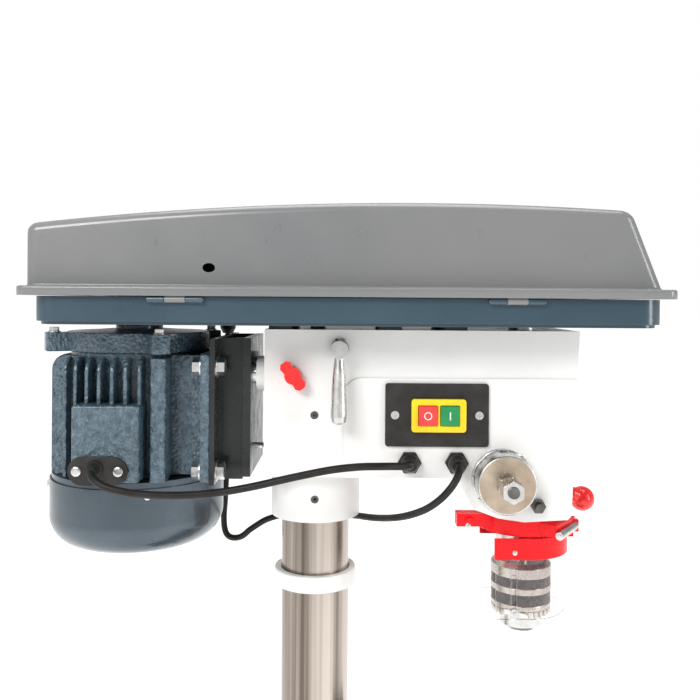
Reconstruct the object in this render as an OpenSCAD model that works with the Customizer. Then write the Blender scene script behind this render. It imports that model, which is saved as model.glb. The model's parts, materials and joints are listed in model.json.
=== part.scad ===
// Bench drill press with a belt head, in millimetres.
// +X faces the operator, -Y is the operator's left side, +Z is up.
// The origin is the column's axis at the underside of the base.

/* [Base and column] */
// Length of the base plate, front to back
base_l = 455; // [400:5:560]
// Width of the base plate
base_w = 285; // [230:5:345]
// Height of the base plate
base_h = 42; // [34:1:52]
// Distance from the column's axis to the back edge of the base
base_back = 85; // [76:1:110]
// Diameter of the four holes that bolt the base to a bench
base_hole_d = 14; // [10:1:18]
// Outer diameter of the column
column_d = 70; // [58:1:84]
// Wall of the column tube
column_wall = 5; // [3:0.5:8]

/* [Head] */
// Height of the head casting's underside above the floor
head_z = 740; // [617:1:888]
// Height of the head casting
head_h = 143; // [135:1:172]
// Width of the head casting
head_w = 130; // [124:1:156]
// Distance from the column's axis to the spindle's axis
throat = 216; // [206:1:236]
// Distance from the column's axis to the motor's axis
motor_back = 186; // [180:1:210]
// How far the motor slides back to tighten the belts
belt_take_up = 15; // [8:1:18]

/* [Spindle] */
// Outer diameter of the quill
quill_d = 52; // [48:1:58]
// How far the quill feeds down
quill_travel = 80; // [60:1:90]
// Diameter of the spindle
spindle_d = 17; // [15:1:20]
// Pitch radius of the feed pinion
pinion_r = 13; // [11:0.5:14]
// Diameter of the drill chuck's sleeve
chuck_d = 62; // [52:1:70]
// Radius of the plastic chuck shield
shield_r = 44.5; // [42:0.5:52]

/* [Belt cover] */
// Length of the cover's lid at its rim
lid_l = 590; // [560:5:640]
// Width of the cover's lid at its rim
lid_w = 274; // [260:2:330]
// Height of the lid's crest above its rim
lid_h = 86; // [84:1:110]
// Height of the belt pan
pan_h = 25.6; // [22:0.2:32]
// Thickness of the cover's sheet steel
sheet = 1.6; // [1.2:0.1:2.4]

/* [Motor] */
// Width of the motor's finned frame
motor_w = 150; // [130:1:166]
// Height of the motor's finned frame
motor_h = 122; // [100:1:146]
// Length of the fan cover below the frame
fan_cover_h = 67; // [56:1:80]

/* [Table] */
// Length and width of the square table
table_w = 290; // [242:2:300]
// Height of the table's top above the floor
table_z = 340; // [310:1:408]
// Diameter of the hole in the table's middle
table_hole_d = 28; // [22:1:34]

/* [Controls] */
// Width of the switch plate
switch_plate_w = 100; // [94:1:116]
// Height of the switch plate
switch_plate_h = 61; // [52:1:72]
// Diameter of the feed handle's balls
ball_d = 30; // [24:1:36]
// Length of a feed arm from the hub's axis to its ball
feed_arm_l = 158; // [140:1:170]

/* [Hidden] */
$fn = 64;
run = 0.05;                               // radial clearance of a running fit
gap = 0.3;                                // clearance between neighbouring pieces
eps = 1;                                  // how far a cut runs past a face

// Column and table
column_r = column_d / 2;
flange_h = 16;                            // the flange's plate
flange_r = column_r + 40;
boss_h = 70;                              // the flange's boss above the base
boss_r = column_r + 13;
flange_bolt_r = column_r + 26;            // circle that the flange bolts sit on
bolt_r = 5.9;                             // M12 bolts
rack_t = 8;                               // rack's thickness out from the column
rack_w = 14;
rack_pitch = 8;
rack_y = column_r + gap;                  // the rack's back face
ring_h = 17;
ring_r = column_r + 7.3;
ring_z = head_z - 122.5;
rack_z0 = base_h + boss_h + gap;
rack_z1 = ring_z - gap;
sleeve_h = 96;                            // the table bracket's sleeve
sleeve_r = column_r + 13;
tilt_z = table_z - 62;                    // the tilt bolt's axis
tilt_r = 30;                              // the two tilt faces
tilt_x = 118;                             // where the tilt faces meet
rim_h = 26;                               // the table's edge
table_slot_y = 75;
crank_z = tilt_z - 16;
crank_y = column_r + 78;                  // the crank arm's near face
crank_arm_l = 58;
gear_r = 14.2;                            // the lifting gear
gear_y = column_r + rack_t + 15;
gear_z = crank_z + 24;

// Head casting
head_top = head_z + head_h;
head_back = 48;
head_front = throat + 34.5;               // front face at the bottom
collar_h = 50;
collar_z = head_z - collar_h;
collar_r = column_r + 11;
column_top = head_z + 72;
nose_z = head_z - 42;                     // the head's lowest face round the quill
bar_y = 38;                               // slide bars beside the column
bar_r = 9;
bar_z = head_top - 45;
lever_x = 25;                             // tension lever's pivot
lever_z = head_top - 18;
lever_r = 6;
knob_x = -19.5;                           // slide lock knob
knob_z = bar_z + 1;
idler_pin = [0, 34];                      // the idler arm's pivot on the head
feed_x = throat - pinion_r - 20.2;        // feed shaft's axis
feed_z = head_z;
feed_r = 9;                               // the feed shaft's journal
cap_r = 28;                               // return spring's cap
cap_h = 30;

// Belt cover
pan_z = head_top + 5.4;
rim_z = pan_z + pan_h + 0.6;              // underside of the lid's rim
lid_x0 = -(motor_back + 77);              // back edge of the lid's rim
lid_x1 = lid_x0 + lid_l;
rim_w = 8.4;                              // height of the lid's rim
pan_x0 = lid_x0 + 12;
pan_x1 = lid_x1 - 10;
pan_half = lid_w / 2 - 7;
hinge_y = -(lid_w / 2 - 3.4);
hinge_z = rim_z - 3.2;
hinge_r = 2.8;
hinge_xs = [lid_x0 + 143, lid_x1 - 144];
hinge_l = 50;

// Pulleys, four steps each, every step's outer radius from the bottom up
step_h = 15.5;
motor_steps = [24, 30.5, 37, 43.5];
idler_steps = [62, 55.5, 49, 42.5];
spindle_steps = [36, 42.5, 49, 55.5];
groove = 9;                               // depth of a groove
pulley_z = head_top + 18;
motor_level = 0;                          // the steps that the belts run on
spindle_level = 2;

// Motor, all heights from the head's underside
frame_z = head_z - 3;
frame_top = frame_z + motor_h;
shield_h = 15;                            // the motor's upper end shield
bracket_x = -(motor_back - 88);           // back of the motor bracket
bracket_t = 30;
foot_half = 70;                           // the feet's bolts
foot_dz = 50;
foot_z = frame_top - 62;
shaft_r = 8;

// Spindle, quill and chuck
quill_r = quill_d / 2;
quill_z = head_z - 83;                    // the quill's lower face
quill_top = head_z + 108;
chuck_z = head_z - 96;                    // top of the chuck's sleeve
chuck_r = chuck_d / 2;
sleeve_len = 54;
nose_r = 22;
clamp_z = head_z - 63;                    // underside of the guard's clamp
clamp_h = 19;
flip_x = throat + shield_r + 5.5;         // the guard's hinge
flip_z = head_z - 59;

// Switch
switch_x = 119.4;
switch_z = head_z + 61.5;
panel_y = -(head_w / 2 + 1.5);            // face of the raised panel

module plate(l, w, h, r) {
    linear_extrude(h) {
        square([l - 2 * r, w], center = true);
        square([l, w - 2 * r], center = true);
        for (x = [-1, 1], y = [-1, 1]) translate([x * (l / 2 - r), y * (w / 2 - r)]) circle(r);
    }
}

module rod_x(r, l) { rotate([0, 90, 0]) cylinder(r = r, h = l); }
module rod_y(r, l) { rotate([-90, 0, 0]) cylinder(r = r, h = l); }
module hex_x(r, l) { rotate([0, 90, 0]) cylinder(r = r, h = l, $fn = 6); }
module hex_y(r, l) { rotate([-90, 0, 0]) cylinder(r = r, h = l, $fn = 6); }
module side_profile(w) { rotate([90, 0, 0]) linear_extrude(w, center = true) children(); }

// Base: a ribbed casting with a raised working face and two clamping slots
pad_x = throat + 8;
pad_l = 215;
module base() {
    mid = base_l / 2 - base_back;
    cells = 4;
    cell_l = (base_l - 24) / cells - 8;
    cell_w = (base_w - 24) / 3 - 8;
    color("dimgray") difference() {
        union() {
            translate([mid, 0, 0]) plate(base_l, base_w, base_h / 2, 24);
            translate([mid, 0, 0]) plate(base_l - 16, base_w - 16, base_h, 20);
            translate([pad_x, 0, 0]) plate(pad_l, base_w - 60, base_h + 4, 8);
        }
        for (i = [0 : cells - 1], j = [-1 : 1]) if (i > 0 || j != 0)
            translate([mid + (i - (cells - 1) / 2) * (cell_l + 8), j * (cell_w + 8), -eps])
                plate(cell_l, cell_w, base_h - 14 + eps, 6);
        for (y = [-1, 1]) translate([pad_x, y * (base_w / 2 - 78), -eps])
            plate(pad_l - 30, 14, base_h + 4 + 2 * eps, 6.9);
        for (p = base_holes()) translate([p[0], p[1], -eps]) cylinder(d = base_hole_d, h = base_h + 2 * eps);
        for (p = flange_bolt_places()) translate([p[0], p[1], base_h - 20])
            cylinder(r = bolt_r + run, h = 20 + eps);
    }
}
function base_holes() = [for (x = [-base_back + 22, base_l - base_back - 22], y = [-1, 1])
    [x, y * (base_w / 2 - 22)]];
function flange_bolt_places() = [for (a = [45 : 90 : 315]) flange_bolt_r * [cos(a), sin(a)]];

// Flange that carries the column, bolted to the base
module column_flange() {
    color("dimgray") difference() {
        union() {
            translate([0, 0, base_h]) cylinder(r = flange_r, h = flange_h);
            translate([0, 0, base_h]) cylinder(r = boss_r, h = boss_h);
            translate([0, 0, base_h + flange_h]) cylinder(r1 = boss_r + 12, r2 = boss_r, h = 18);
        }
        translate([0, 0, base_h - eps]) cylinder(r = column_r + run, h = boss_h + 2 * eps);
        for (p = flange_bolt_places()) translate([p[0], p[1], base_h - eps]) {
            cylinder(r = bolt_r + 0.3, h = flange_h + 2 * eps);
            translate([0, 0, flange_h + eps]) cylinder(r = 13, h = 30);
        }
    }
}

module flange_bolts() {
    color("silver") for (p = flange_bolt_places()) translate([p[0], p[1], base_h]) {
        translate([0, 0, -19]) cylinder(r = bolt_r, h = 19 + flange_h + 3);
        difference() {
            translate([0, 0, flange_h]) cylinder(r = 12, h = 2.5);
            translate([0, 0, flange_h - eps]) cylinder(r = bolt_r - 0.5, h = 5);
        }
        translate([0, 0, flange_h + 2.5]) cylinder(r = 10.4, h = 7.5, $fn = 6);
    }
}

// Column: a ground steel tube from the base into the head
module column() {
    color("lightgray") difference() {
        translate([0, 0, base_h]) cylinder(r = column_r, h = column_top - base_h);
        translate([0, 0, base_h - eps]) cylinder(r = column_r - column_wall, h = column_top - base_h + 2 * eps);
    }
}

// Rack that the table climbs, held against the column by the ring above
function teeth_2d(n, pitch, tip, root) = [for (i = [0 : n - 1])
    each [[root, i * pitch], [root, i * pitch + pitch * 0.2], [tip, i * pitch + pitch * 0.36],
        [tip, i * pitch + pitch * 0.64], [root, i * pitch + pitch * 0.8]]];
module rack() {
    n = floor((rack_z1 - rack_z0 - 12) / rack_pitch);
    color("gray") translate([-rack_w / 2, rack_y, rack_z0]) rotate([90, 0, 90]) linear_extrude(rack_w)
        polygon(concat([[0, rack_z1 - rack_z0], [0, 0], [rack_t - 4, 0]],
            [for (p = teeth_2d(n, rack_pitch, rack_t, rack_t - 4)) [p[0], p[1] + 4]],
            [[rack_t - 4, rack_z1 - rack_z0]]));
}

module rack_ring() {
    color("white") translate([0, 0, ring_z]) difference() {
        union() {
            cylinder(r = ring_r, h = ring_h);
            translate([0, rack_y, 0]) translate([-rack_w, -6, 0]) cube([2 * rack_w, rack_t + 9, ring_h]);
        }
        translate([0, 0, -eps]) cylinder(r = column_r + run, h = ring_h + 2 * eps);
    }
}

// Table bracket: a sleeve on the column, an arm to the table and a housing for the lifting gear
module table_bracket() {
    lock_x = -(sleeve_r + 8);
    color("dimgray") difference() {
        union() {
            translate([0, 0, tilt_z - sleeve_h / 2]) cylinder(r = sleeve_r, h = sleeve_h);
            translate([20, -22, tilt_z - 20]) cube([tilt_x - 34, 44, 35]);
            translate([tilt_x - 16, 0, tilt_z]) rod_x(tilt_r, 16);
            translate([-26, 0, crank_z - 24]) cube([52, gear_y + 18, 66]);
            translate([0, gear_y, crank_z]) rod_y(15, crank_y - gear_y - 8);
            translate([lock_x - 8, -22, tilt_z - 18]) cube([30, 44, 36]);
        }
        translate([0, 0, tilt_z - sleeve_h / 2 - eps]) cylinder(r = column_r + run, h = sleeve_h + 2 * eps);
        translate([-rack_w / 2 - gap, 0, tilt_z - sleeve_h / 2 - eps])
            cube([rack_w + 2 * gap, rack_y + rack_t + gap, sleeve_h + 2 * eps]);
        translate([-12 - gap, gear_y, gear_z]) rod_x(gear_r + 0.8, 24 + 2 * gap);
        translate([-12 - gap, rack_y + 2, gear_z - 10]) cube([24 + 2 * gap, 14, 20]);
        translate([0, rack_y + rack_t + 4, crank_z]) rod_y(9 + run, crank_y);
        translate([-27, gear_y, gear_z]) rod_x(4 + run, 54);
        translate([tilt_x - 17, 0, tilt_z]) rod_x(8 + run, 18);
        translate([tilt_x - 46, -14, tilt_z - 14]) cube([31, 28, 30]);
        translate([lock_x - 12, -1.5, tilt_z - sleeve_h / 2 - eps])
            cube([40, 3, sleeve_h + 2 * eps]);
        translate([lock_x, -23, tilt_z]) rod_y(6 + run, 46);
    }
}

// Lever that clamps the bracket on the column
module bracket_lock() {
    lock_x = -(sleeve_r + 8);
    color("silver") {
        translate([lock_x, -30, tilt_z]) rod_y(6, 56);
        translate([lock_x, -32, tilt_z]) rod_y(10, 9.5);
        translate([lock_x, -27.5, tilt_z]) rotate([0, -60, 0]) cylinder(r = 4.5, h = 62);
        translate([lock_x, 22.4, tilt_z]) hex_y(10, 8);
    }
    color("black") translate([lock_x, -27.5, tilt_z]) rotate([0, -60, 0]) translate([0, 0, 60]) sphere(11);
}

// Crank on the lifting gear's worm
module table_crank() {
    color("gray") {
        translate([0, rack_y + rack_t + 6, crank_z]) rod_y(9, crank_y + 12 - rack_y - rack_t - 6);
        difference() {
            translate([0, crank_y, crank_z]) rotate([-90, 0, 0]) linear_extrude(8) {
                circle(13);
                translate([-8, 0]) square([16, crank_arm_l]);
                translate([0, crank_arm_l]) circle(10);
            }
            translate([0, crank_y - eps, crank_z - crank_arm_l]) rod_y(4, 12);
        }
        translate([0, crank_y - 1, crank_z - crank_arm_l]) rod_y(3.9, 62);
    }
    color("black") translate([0, crank_y + 8.3, crank_z - crank_arm_l]) difference() {
        rotate([-90, 0, 0]) rotate_extrude() polygon([[0, 0], [8, 0], [10, 8], [11, 24], [9, 42], [5, 50], [0, 50]]);
        translate([0, -eps, 0]) rod_y(3.95, 70);
    }
}

// Gear between the worm and the rack
module lift_gear() {
    color("gray") translate([-12, gear_y, gear_z]) {
        rod_x(gear_r, 24);
        translate([-14, 0, 0]) rod_x(4, 52);
    }
}

module tilt_bolt() {
    color("silver") {
        translate([tilt_x - 24, 0, tilt_z]) hex_x(12, 7.7);
        translate([tilt_x - 16.3, 0, tilt_z]) rod_x(8, 50);
        translate([tilt_x + 22, 0, tilt_z]) hex_x(12, 9);
    }
}

// Table: a square plate with a stiff edge, cross slots and a tilting lug
module table() {
    t = 13;
    color("gray") difference() {
        union() {
            translate([throat, 0, table_z - rim_h]) difference() {
                plate(table_w, table_w, rim_h, 16);
                translate([0, 0, -eps]) plate(table_w - 18, table_w - 18, rim_h - t + eps, 12);
            }
            translate([tilt_x + 0.2, 0, tilt_z]) rod_x(tilt_r, 20);
            translate([tilt_x + 0.2, -18, tilt_z]) cube([20, 36, table_z - t - tilt_z + 1]);
            translate([tilt_x + 10, -5, table_z - t - 30]) cube([throat - tilt_x + 60, 10, 31]);
            translate([throat, 0, table_z - t - 22]) cylinder(r = table_hole_d / 2 + 12, h = 23);
        }
        translate([tilt_x - 1, 0, tilt_z]) rod_x(8 + gap, 40);
        translate([throat, 0, table_z - 60]) cylinder(d = table_hole_d, h = 62);
        for (y = [-1, 1]) translate([throat, y * table_slot_y, table_z - 20]) plate(table_w - 100, 14, 24, 6.9);
    }
}

// Ring at the rack's upper end and the head casting, with its seats for everything that it carries
function head_outline() = [[-head_back, head_top], [-head_back, head_z], [throat - 76, head_z],
    [throat - 60, head_z - 30], [throat - 36, head_z - 38.5], [throat - 11, nose_z],
    [throat + 31, head_z - 39.5], [head_front, head_z - 36], [head_front + 7.5, head_top]];
module raised_panel_2d() {
    r = 17;
    intersection() {
        polygon(head_outline());
        union() {
            translate([30, nose_z]) square([throat + 60, switch_z + 35 - r - nose_z]);
            translate([30 + r, nose_z]) square([throat + 60, switch_z + 35 - nose_z]);
            translate([30 + r, switch_z + 35 - r]) circle(r);
        }
    }
}
module head_casting() {
    cavity_x0 = 62;
    cavity_x1 = feed_x - 21;
    color("white") difference() {
        union() {
            side_profile(head_w) polygon(head_outline());
            side_profile(head_w + 3) raised_panel_2d();
            translate([0, 0, collar_z]) cylinder(r = collar_r, h = collar_h + 5);
            for (y = [-1, 1]) translate([-head_back - 9, y * bar_y, bar_z]) rod_x(bar_r + 8.5, 12);
        }
        // column, quill and the bearings above it
        translate([0, 0, collar_z - eps]) cylinder(r = column_r + run, h = column_top - collar_z + 2 * eps);
        translate([throat, 0, nose_z - 5]) cylinder(r = quill_r + run, h = quill_top + 1 - nose_z + 5);
        translate([throat, 0, quill_top]) cylinder(r = 17, h = 60);
        translate([throat, 0, head_top - 28]) cylinder(r = 27.5, h = 30);
        // feed shaft: a wide bore from the far side for the pinion, a narrow one to the near side
        translate([feed_x, -head_w / 2 - 5, feed_z]) rod_y(feed_r + run, head_w + 10);
        translate([feed_x, -14, feed_z]) rod_y(pinion_r + 2 + run, head_w);
        // switch box with its opening and the two gland holes
        translate([cavity_x0, -head_w / 2 + 6, head_z + 8])
            cube([cavity_x1 - cavity_x0, head_w - 14, switch_z + 30 - head_z - 8]);
        translate([switch_x + 1.4 - 23.5, panel_y - eps, switch_z - 13.5]) cube([47, 12, 27]);
        for (p = gland_places()) translate([p[0], panel_y - eps, p[1]]) rod_y(8 + run, 14);
        for (x = [-1, 1]) translate([switch_x + x * (switch_plate_w / 2 - 9.4), panel_y - eps, switch_z])
            rod_y(2 + run, 9);
        // slide bars, tension lever, lock knob and idler arm
        for (y = [-1, 1]) translate([-head_back - 10, y * bar_y, bar_z]) rod_x(bar_r + run, 156);
        translate([lever_x, -head_w / 2 - 2, lever_z]) rod_y(lever_r + run, head_w - 12);
        translate([knob_x, -head_w / 2 - 2, knob_z]) rod_y(4 + run, head_w / 2 - bar_y);
        translate([idler_pin[0], idler_pin[1], head_top - 31]) cylinder(r = shaft_r + run, h = 32);
        // screws
        translate([1, -head_w / 2 - 2, head_z + 60]) rod_y(4 + run, head_w / 2 + 2 - column_r);
        translate([1, -collar_r - 2, collar_z + 23.5]) rod_y(4 + run, 14);
        translate([throat + 1.5, -head_w / 2 - 2, nose_z + 16.5]) rod_y(4 + run, head_w / 2);
    }
}
function gland_places() = [[93.3, head_z + 15.5], [138.7, head_z + 15.5]];

// Two grub screws that hold the head on the column, and the quill's key screw with its nut
module head_screws() {
    color("black") {
        translate([1, -head_w / 2 + 3, head_z + 60]) grub(head_w / 2 - 3 - column_r - gap);
        translate([1, -collar_r + 2, collar_z + 23.5]) grub(collar_r - 2 - column_r - gap);
    }
    color("silver") translate([throat + 1.5, panel_y, nose_z + 16.5]) {
        translate([0, -12, 0]) rod_y(3.95, 12 - panel_y - quill_r + 1.5);
        difference() {
            translate([0, -6, 0]) hex_y(7.2, 5.8);
            translate([0, -7, 0]) rod_y(4 + run, 8);
        }
    }
}
module grub(l) {
    difference() {
        rod_y(4, l);
        translate([0, -eps, 0]) hex_y(2, 5);
    }
}

// Tray under the pulleys, bolted to the head through rubber pads
module belt_pan() {
    l = pan_x1 - pan_x0;
    mid = (pan_x0 + pan_x1) / 2;
    color("slategray") {
        difference() {
            union() {
                translate([mid, 0, pan_z]) plate(l - 8, 2 * pan_half - 8, 4, 18);
                translate([mid, 0, pan_z + 3]) plate(l, 2 * pan_half, pan_h - 3, 22);
            }
            translate([mid, 0, pan_z + sheet]) plate(l - 8 - 2 * sheet, 2 * pan_half - 8 - 2 * sheet, 3, 16.4);
            translate([mid, 0, pan_z + 3 + sheet]) plate(l - 2 * sheet, 2 * pan_half - 2 * sheet, pan_h, 20.4);
            for (d = [0, belt_take_up]) translate([-motor_back - d, 0, pan_z - eps]) cylinder(r = 13, h = 6);
            translate([-motor_back - belt_take_up, -13, pan_z - eps]) cube([belt_take_up, 26, 6]);
            translate([throat, 0, pan_z - eps]) cylinder(r = 24, h = 6);
            translate([idler_pin[0], idler_pin[1], pan_z - eps]) cylinder(r = 16, h = 6);
            for (p = pad_places()) translate([p[0], p[1], pan_z - eps]) cylinder(r = 4.2, h = 6);
            translate([-108, 97, pan_z - eps]) cylinder(r = 8 + run, h = 6);
        }
        for (x = hinge_xs, e = [-1, 1]) translate([x + e * 17 - 7.5, hinge_y, hinge_z]) difference() {
            union() {
                rod_x(hinge_r, 15);
                translate([0, 0, -hinge_r]) cube([15, -hinge_y - pan_half, 1.4]);
            }
            translate([-eps, 0, 0]) rod_x(1.5 + run, 20);
        }
    }
}
function pad_places() = [for (x = [-33, 74.4, 138], y = [-1, 1]) [x, y * (head_w / 2 - 12)]];

module pan_pads() {
    color("black") for (p = pad_places()) translate([p[0] - 11, p[1] - 11, head_top])
        difference() {
            cube([22, 22, pan_z - head_top]);
            translate([11, 11, -eps]) cylinder(r = 4.2, h = 10);
        }
    color("silver") for (p = pad_places()) translate([p[0], p[1], pan_z + sheet]) {
        translate([0, 0, -sheet - pan_z + head_top]) cylinder(r = 3.9, h = sheet + pan_z - head_top);
        cylinder(r = 7.5, h = 5, $fn = 6);
    }
}

// Lid of the belt cover: arched sheet steel over a turned rim
lid_foot = [lid_x0 + 4, lid_x1 - 9];      // the wall's ends above the rim
lid_half = lid_w / 2 - 15;
crest_x = lid_x0 + 0.61 * lid_l;
function arch_z(x) = rim_z + lid_h - 21 * pow((x - crest_x) / (0.603 * lid_l), 2);
function lid_outline(t) = concat([[lid_foot[0] + t, rim_z - (t > 0 ? eps : 0)]],
    [for (i = [0 : 16]) let (x = lid_foot[0] + t + (lid_l - 41 - 2 * t) * i / 16) [x, arch_z(x) - t]],
    [[lid_foot[1] - t, rim_z + 10], [lid_foot[1] - t, rim_z - (t > 0 ? eps : 0)]]);
module lid() {
    mid = (lid_x0 + lid_x1) / 2;
    color("slategray") difference() {
        union() {
            side_profile(2 * lid_half) polygon(lid_outline(0));
            translate([mid, 0, rim_z]) plate(lid_l, lid_w, rim_w, 20);
        }
        side_profile(2 * lid_half - 2 * sheet) polygon(lid_outline(sheet));
        translate([mid, 0, rim_z - eps]) plate(lid_l - 2 * sheet, lid_w - 2 * sheet, rim_w - sheet + eps, 18.4);
        translate([-126, -lid_half - 2, rim_z + 26]) rod_y(4, 5);
    }
}

// The lid's hinge knuckles with their pins
module lid_hinges() {
    color("slategray") for (x = hinge_xs) {
        translate([x - 9, hinge_y, hinge_z]) difference() {
            union() {
                rod_x(hinge_r, 18);
                translate([0, -1, 0]) cube([18, 3.8, rim_z + rim_w - sheet - hinge_z]);
            }
            translate([-eps, 0, 0]) rod_x(1.5, 20);
        }
    }
    color("silver") for (x = hinge_xs) translate([x - hinge_l / 2, hinge_y, hinge_z]) rod_x(1.5, hinge_l);
}

// Switch: plate, bezel with the contact box behind it, and two buttons
module switch_plate() {
    color("black") translate([switch_x, panel_y, switch_z]) difference() {
        rotate([90, 0, 0]) plate(switch_plate_w, switch_plate_h, 3, 3);
        translate([1.4 - 23, -4, -13]) cube([46, 5, 26]);
        for (x = [-1, 1]) translate([x * (switch_plate_w / 2 - 9.4), -4, 0]) rod_y(2.2, 5);
    }
}
button_w = 18;
button_h = 19;
button_dx = 10.6;
module switch_bezel() {
    color("gold") translate([switch_x + 1.4, panel_y - 3, switch_z]) difference() {
        union() {
            rotate([90, 0, 0]) plate(52.6, 31.8, 5, 3);
            translate([-22.8, 0, -12.8]) cube([45.6, 24, 25.6]);
        }
        for (x = [-1, 1]) translate([x * button_dx - button_w / 2 - gap, -6, -button_h / 2 - gap])
            cube([button_w + 2 * gap, 16, button_h + 2 * gap]);
    }
}
module button(c) {
    color(c) translate([-button_w / 2, -3, -button_h / 2]) cube([button_w, 9, button_h]);
}
module stop_button() { translate([switch_x + 1.4 - button_dx, panel_y - 7, switch_z]) button("red"); }
module start_button() { translate([switch_x + 1.4 + button_dx, panel_y - 7, switch_z]) button("green"); }
module switch_screws() {
    color("silver") for (x = [-1, 1]) translate([switch_x + x * (switch_plate_w / 2 - 9.4), panel_y - 3, switch_z]) {
        rod_y(2, 10);
        difference() {
            translate([0, -1.8, 0]) rod_y(4, 1.8);
            translate([-0.5, -2.5, -3]) cube([1, 1.5, 6]);
            translate([-3, -2.5, -0.5]) cube([6, 1.5, 1]);
        }
    }
}

// Cable glands: two on the head, one under the pan
cord_r = 3.5;
module gland() {
    difference() {
        union() {
            translate([0, 0, -9]) cylinder(r = 8, h = 9);
            cylinder(r = 11.4, h = 5, $fn = 6);
            translate([0, 0, 5]) cylinder(r = 9, h = 5);
            translate([0, 0, 10]) cylinder(r1 = 9, r2 = 6, h = 6);
        }
        translate([0, 0, -10]) cylinder(r = cord_r + 0.1, h = 40);
    }
}
module cable_glands() {
    color("black") {
        for (p = gland_places()) translate([p[0], panel_y, p[1]]) rotate([90, 0, 0]) gland();
        translate([-108, 97, pan_z]) mirror([0, 0, 1]) gland();
    }
}

// Cords: round tubes swept along their points
motor_route = [[-201, -102, 754], [-200.5, -112, 753], [-195, -121, 749], [-182, -126, 743],
    [-154, -125, 737], [-114, -120, 735], [-82, -116, 737], [-52, -114, 742], [-17, -113, 750],
    [18, -112, 757], [44, -112, 760], [66, -109, 760], [83, -101, 758.5], [91.5, -91, 756.5], [93.3, -82.5, 755.5]];
interlock_route = [[138.7, -82.5, 755.5], [138.2, -92, 754.5], [135, -100, 748], [128, -103, 738], [118, -98, 726],
    [105, -83, 713], [86, -54, 699], [64, -14, 687], [38, 30, 678], [4, 60, 672], [-30, 76, 667],
    [-58, 82, 659], [-78, 87, 646], [-92, 91, 635], [-106, 94, 636], [-111, 96, 651], [-110, 97, 680],
    [-108, 97, 730], [-108, 97, 780], [-108, 97, 830], [-108, 97, 872]];
function spline(p, k) = let (n = len(p)) [for (i = [0 : n - 2], j = [0 : k - 1 + (i == n - 2 ? 1 : 0)])
    let (a = p[max(i - 1, 0)], b = p[i], c = p[i + 1], d = p[min(i + 2, n - 1)], t = j / k)
    0.5 * (2 * b + (c - a) * t + (2 * a - 5 * b + 4 * c - d) * t * t + (3 * b - a - 3 * c + d) * t * t * t)];
function unit(v) = v / norm(v);
function square_off(v, t) = unit(v - (v * t) * t);
module tube(route, r, n) {
    p = spline(route, 2);
    m = len(p);
    t = [for (i = [0 : m - 1]) unit(p[min(i + 1, m - 1)] - p[max(i - 1, 0)])];
    side = [for (i = 0, v = square_off([0, 0, 1], t[0]); i < m; i = i + 1,
        v = square_off(v, t[min(i, m - 1)])) v];
    polyhedron(points = [for (i = [0 : m - 1], j = [0 : n - 1])
            p[i] + r * (cos(360 * j / n) * side[i] + sin(360 * j / n) * cross(t[i], side[i]))],
        faces = concat([[for (j = [0 : n - 1]) j]], [[for (j = [n - 1 : -1 : 0]) (m - 1) * n + j]],
            [for (i = [0 : m - 2], j = [0 : n - 1]) let (k = (j + 1) % n)
                [i * n + k, i * n + j, (i + 1) * n + j, (i + 1) * n + k]]));
}
module motor_lead() { color("black") tube(motor_route, cord_r, 8); }
module interlock_lead() { color("black") tube(interlock_route, cord_r, 8); }

// Feed: pinion on its shaft, hub with two arms and balls
pinion_n = 13;
pitch = 2 * PI * pinion_r / pinion_n;
module pinion_2d() {
    circle(pinion_r - 2.4);
    for (i = [0 : pinion_n - 1]) rotate(360 * i / pinion_n)
        polygon([[pinion_r - 4, -2], [pinion_r - 2.4, -1.9], [pinion_r + 1.8, -0.6],
            [pinion_r + 1.8, 0.6], [pinion_r - 2.4, 1.9], [pinion_r - 4, 2]]);
}
hub_y = head_w / 2 + 3;
hub_l = 42;
module feed_shaft() {
    color("silver") translate([feed_x, 0, feed_z]) {
        translate([0, 13, 0]) rotate([90, 0, 0]) linear_extrude(26) pinion_2d();
        translate([0, 13, 0]) rod_y(pinion_r + 2, head_w / 2 - 14);
        translate([0, 12, 0]) rod_y(feed_r, hub_y + hub_l - 8 - 12);
        translate([0, panel_y - cap_h - 9, 0]) rod_y(feed_r, -panel_y + cap_h + 9 - 12.5);
    }
}
arm_angles = [27, 207];
arm_out = pan_half + ball_d / 2 + 5 - (hub_y + 26); // the balls pass outside the belt pan
module feed_arms() {
    lean = atan(arm_out / feed_arm_l);
    arm = norm([feed_arm_l, arm_out]);
    translate([feed_x, 0, feed_z]) {
        color("silver") difference() {
            translate([0, hub_y, 0]) union() {
                rod_y(25, hub_l - 6);
                rod_y(21, hub_l);
            }
            translate([0, hub_y - eps, 0]) rod_y(feed_r + run, hub_l - 6);
        }
        for (a = arm_angles) translate([0, hub_y + 26, 0]) rotate([0, a, 0]) rotate([0, 0, lean]) {
            color("silver") translate([22, 0, 0]) rod_x(6, arm - 22 - ball_d / 2 + 6);
            color("red") translate([arm, 0, 0]) difference() {
                sphere(d = ball_d);
                translate([-ball_d, 0, 0]) rod_x(6 + run, ball_d / 2 + 6);
            }
        }
    }
}

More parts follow.
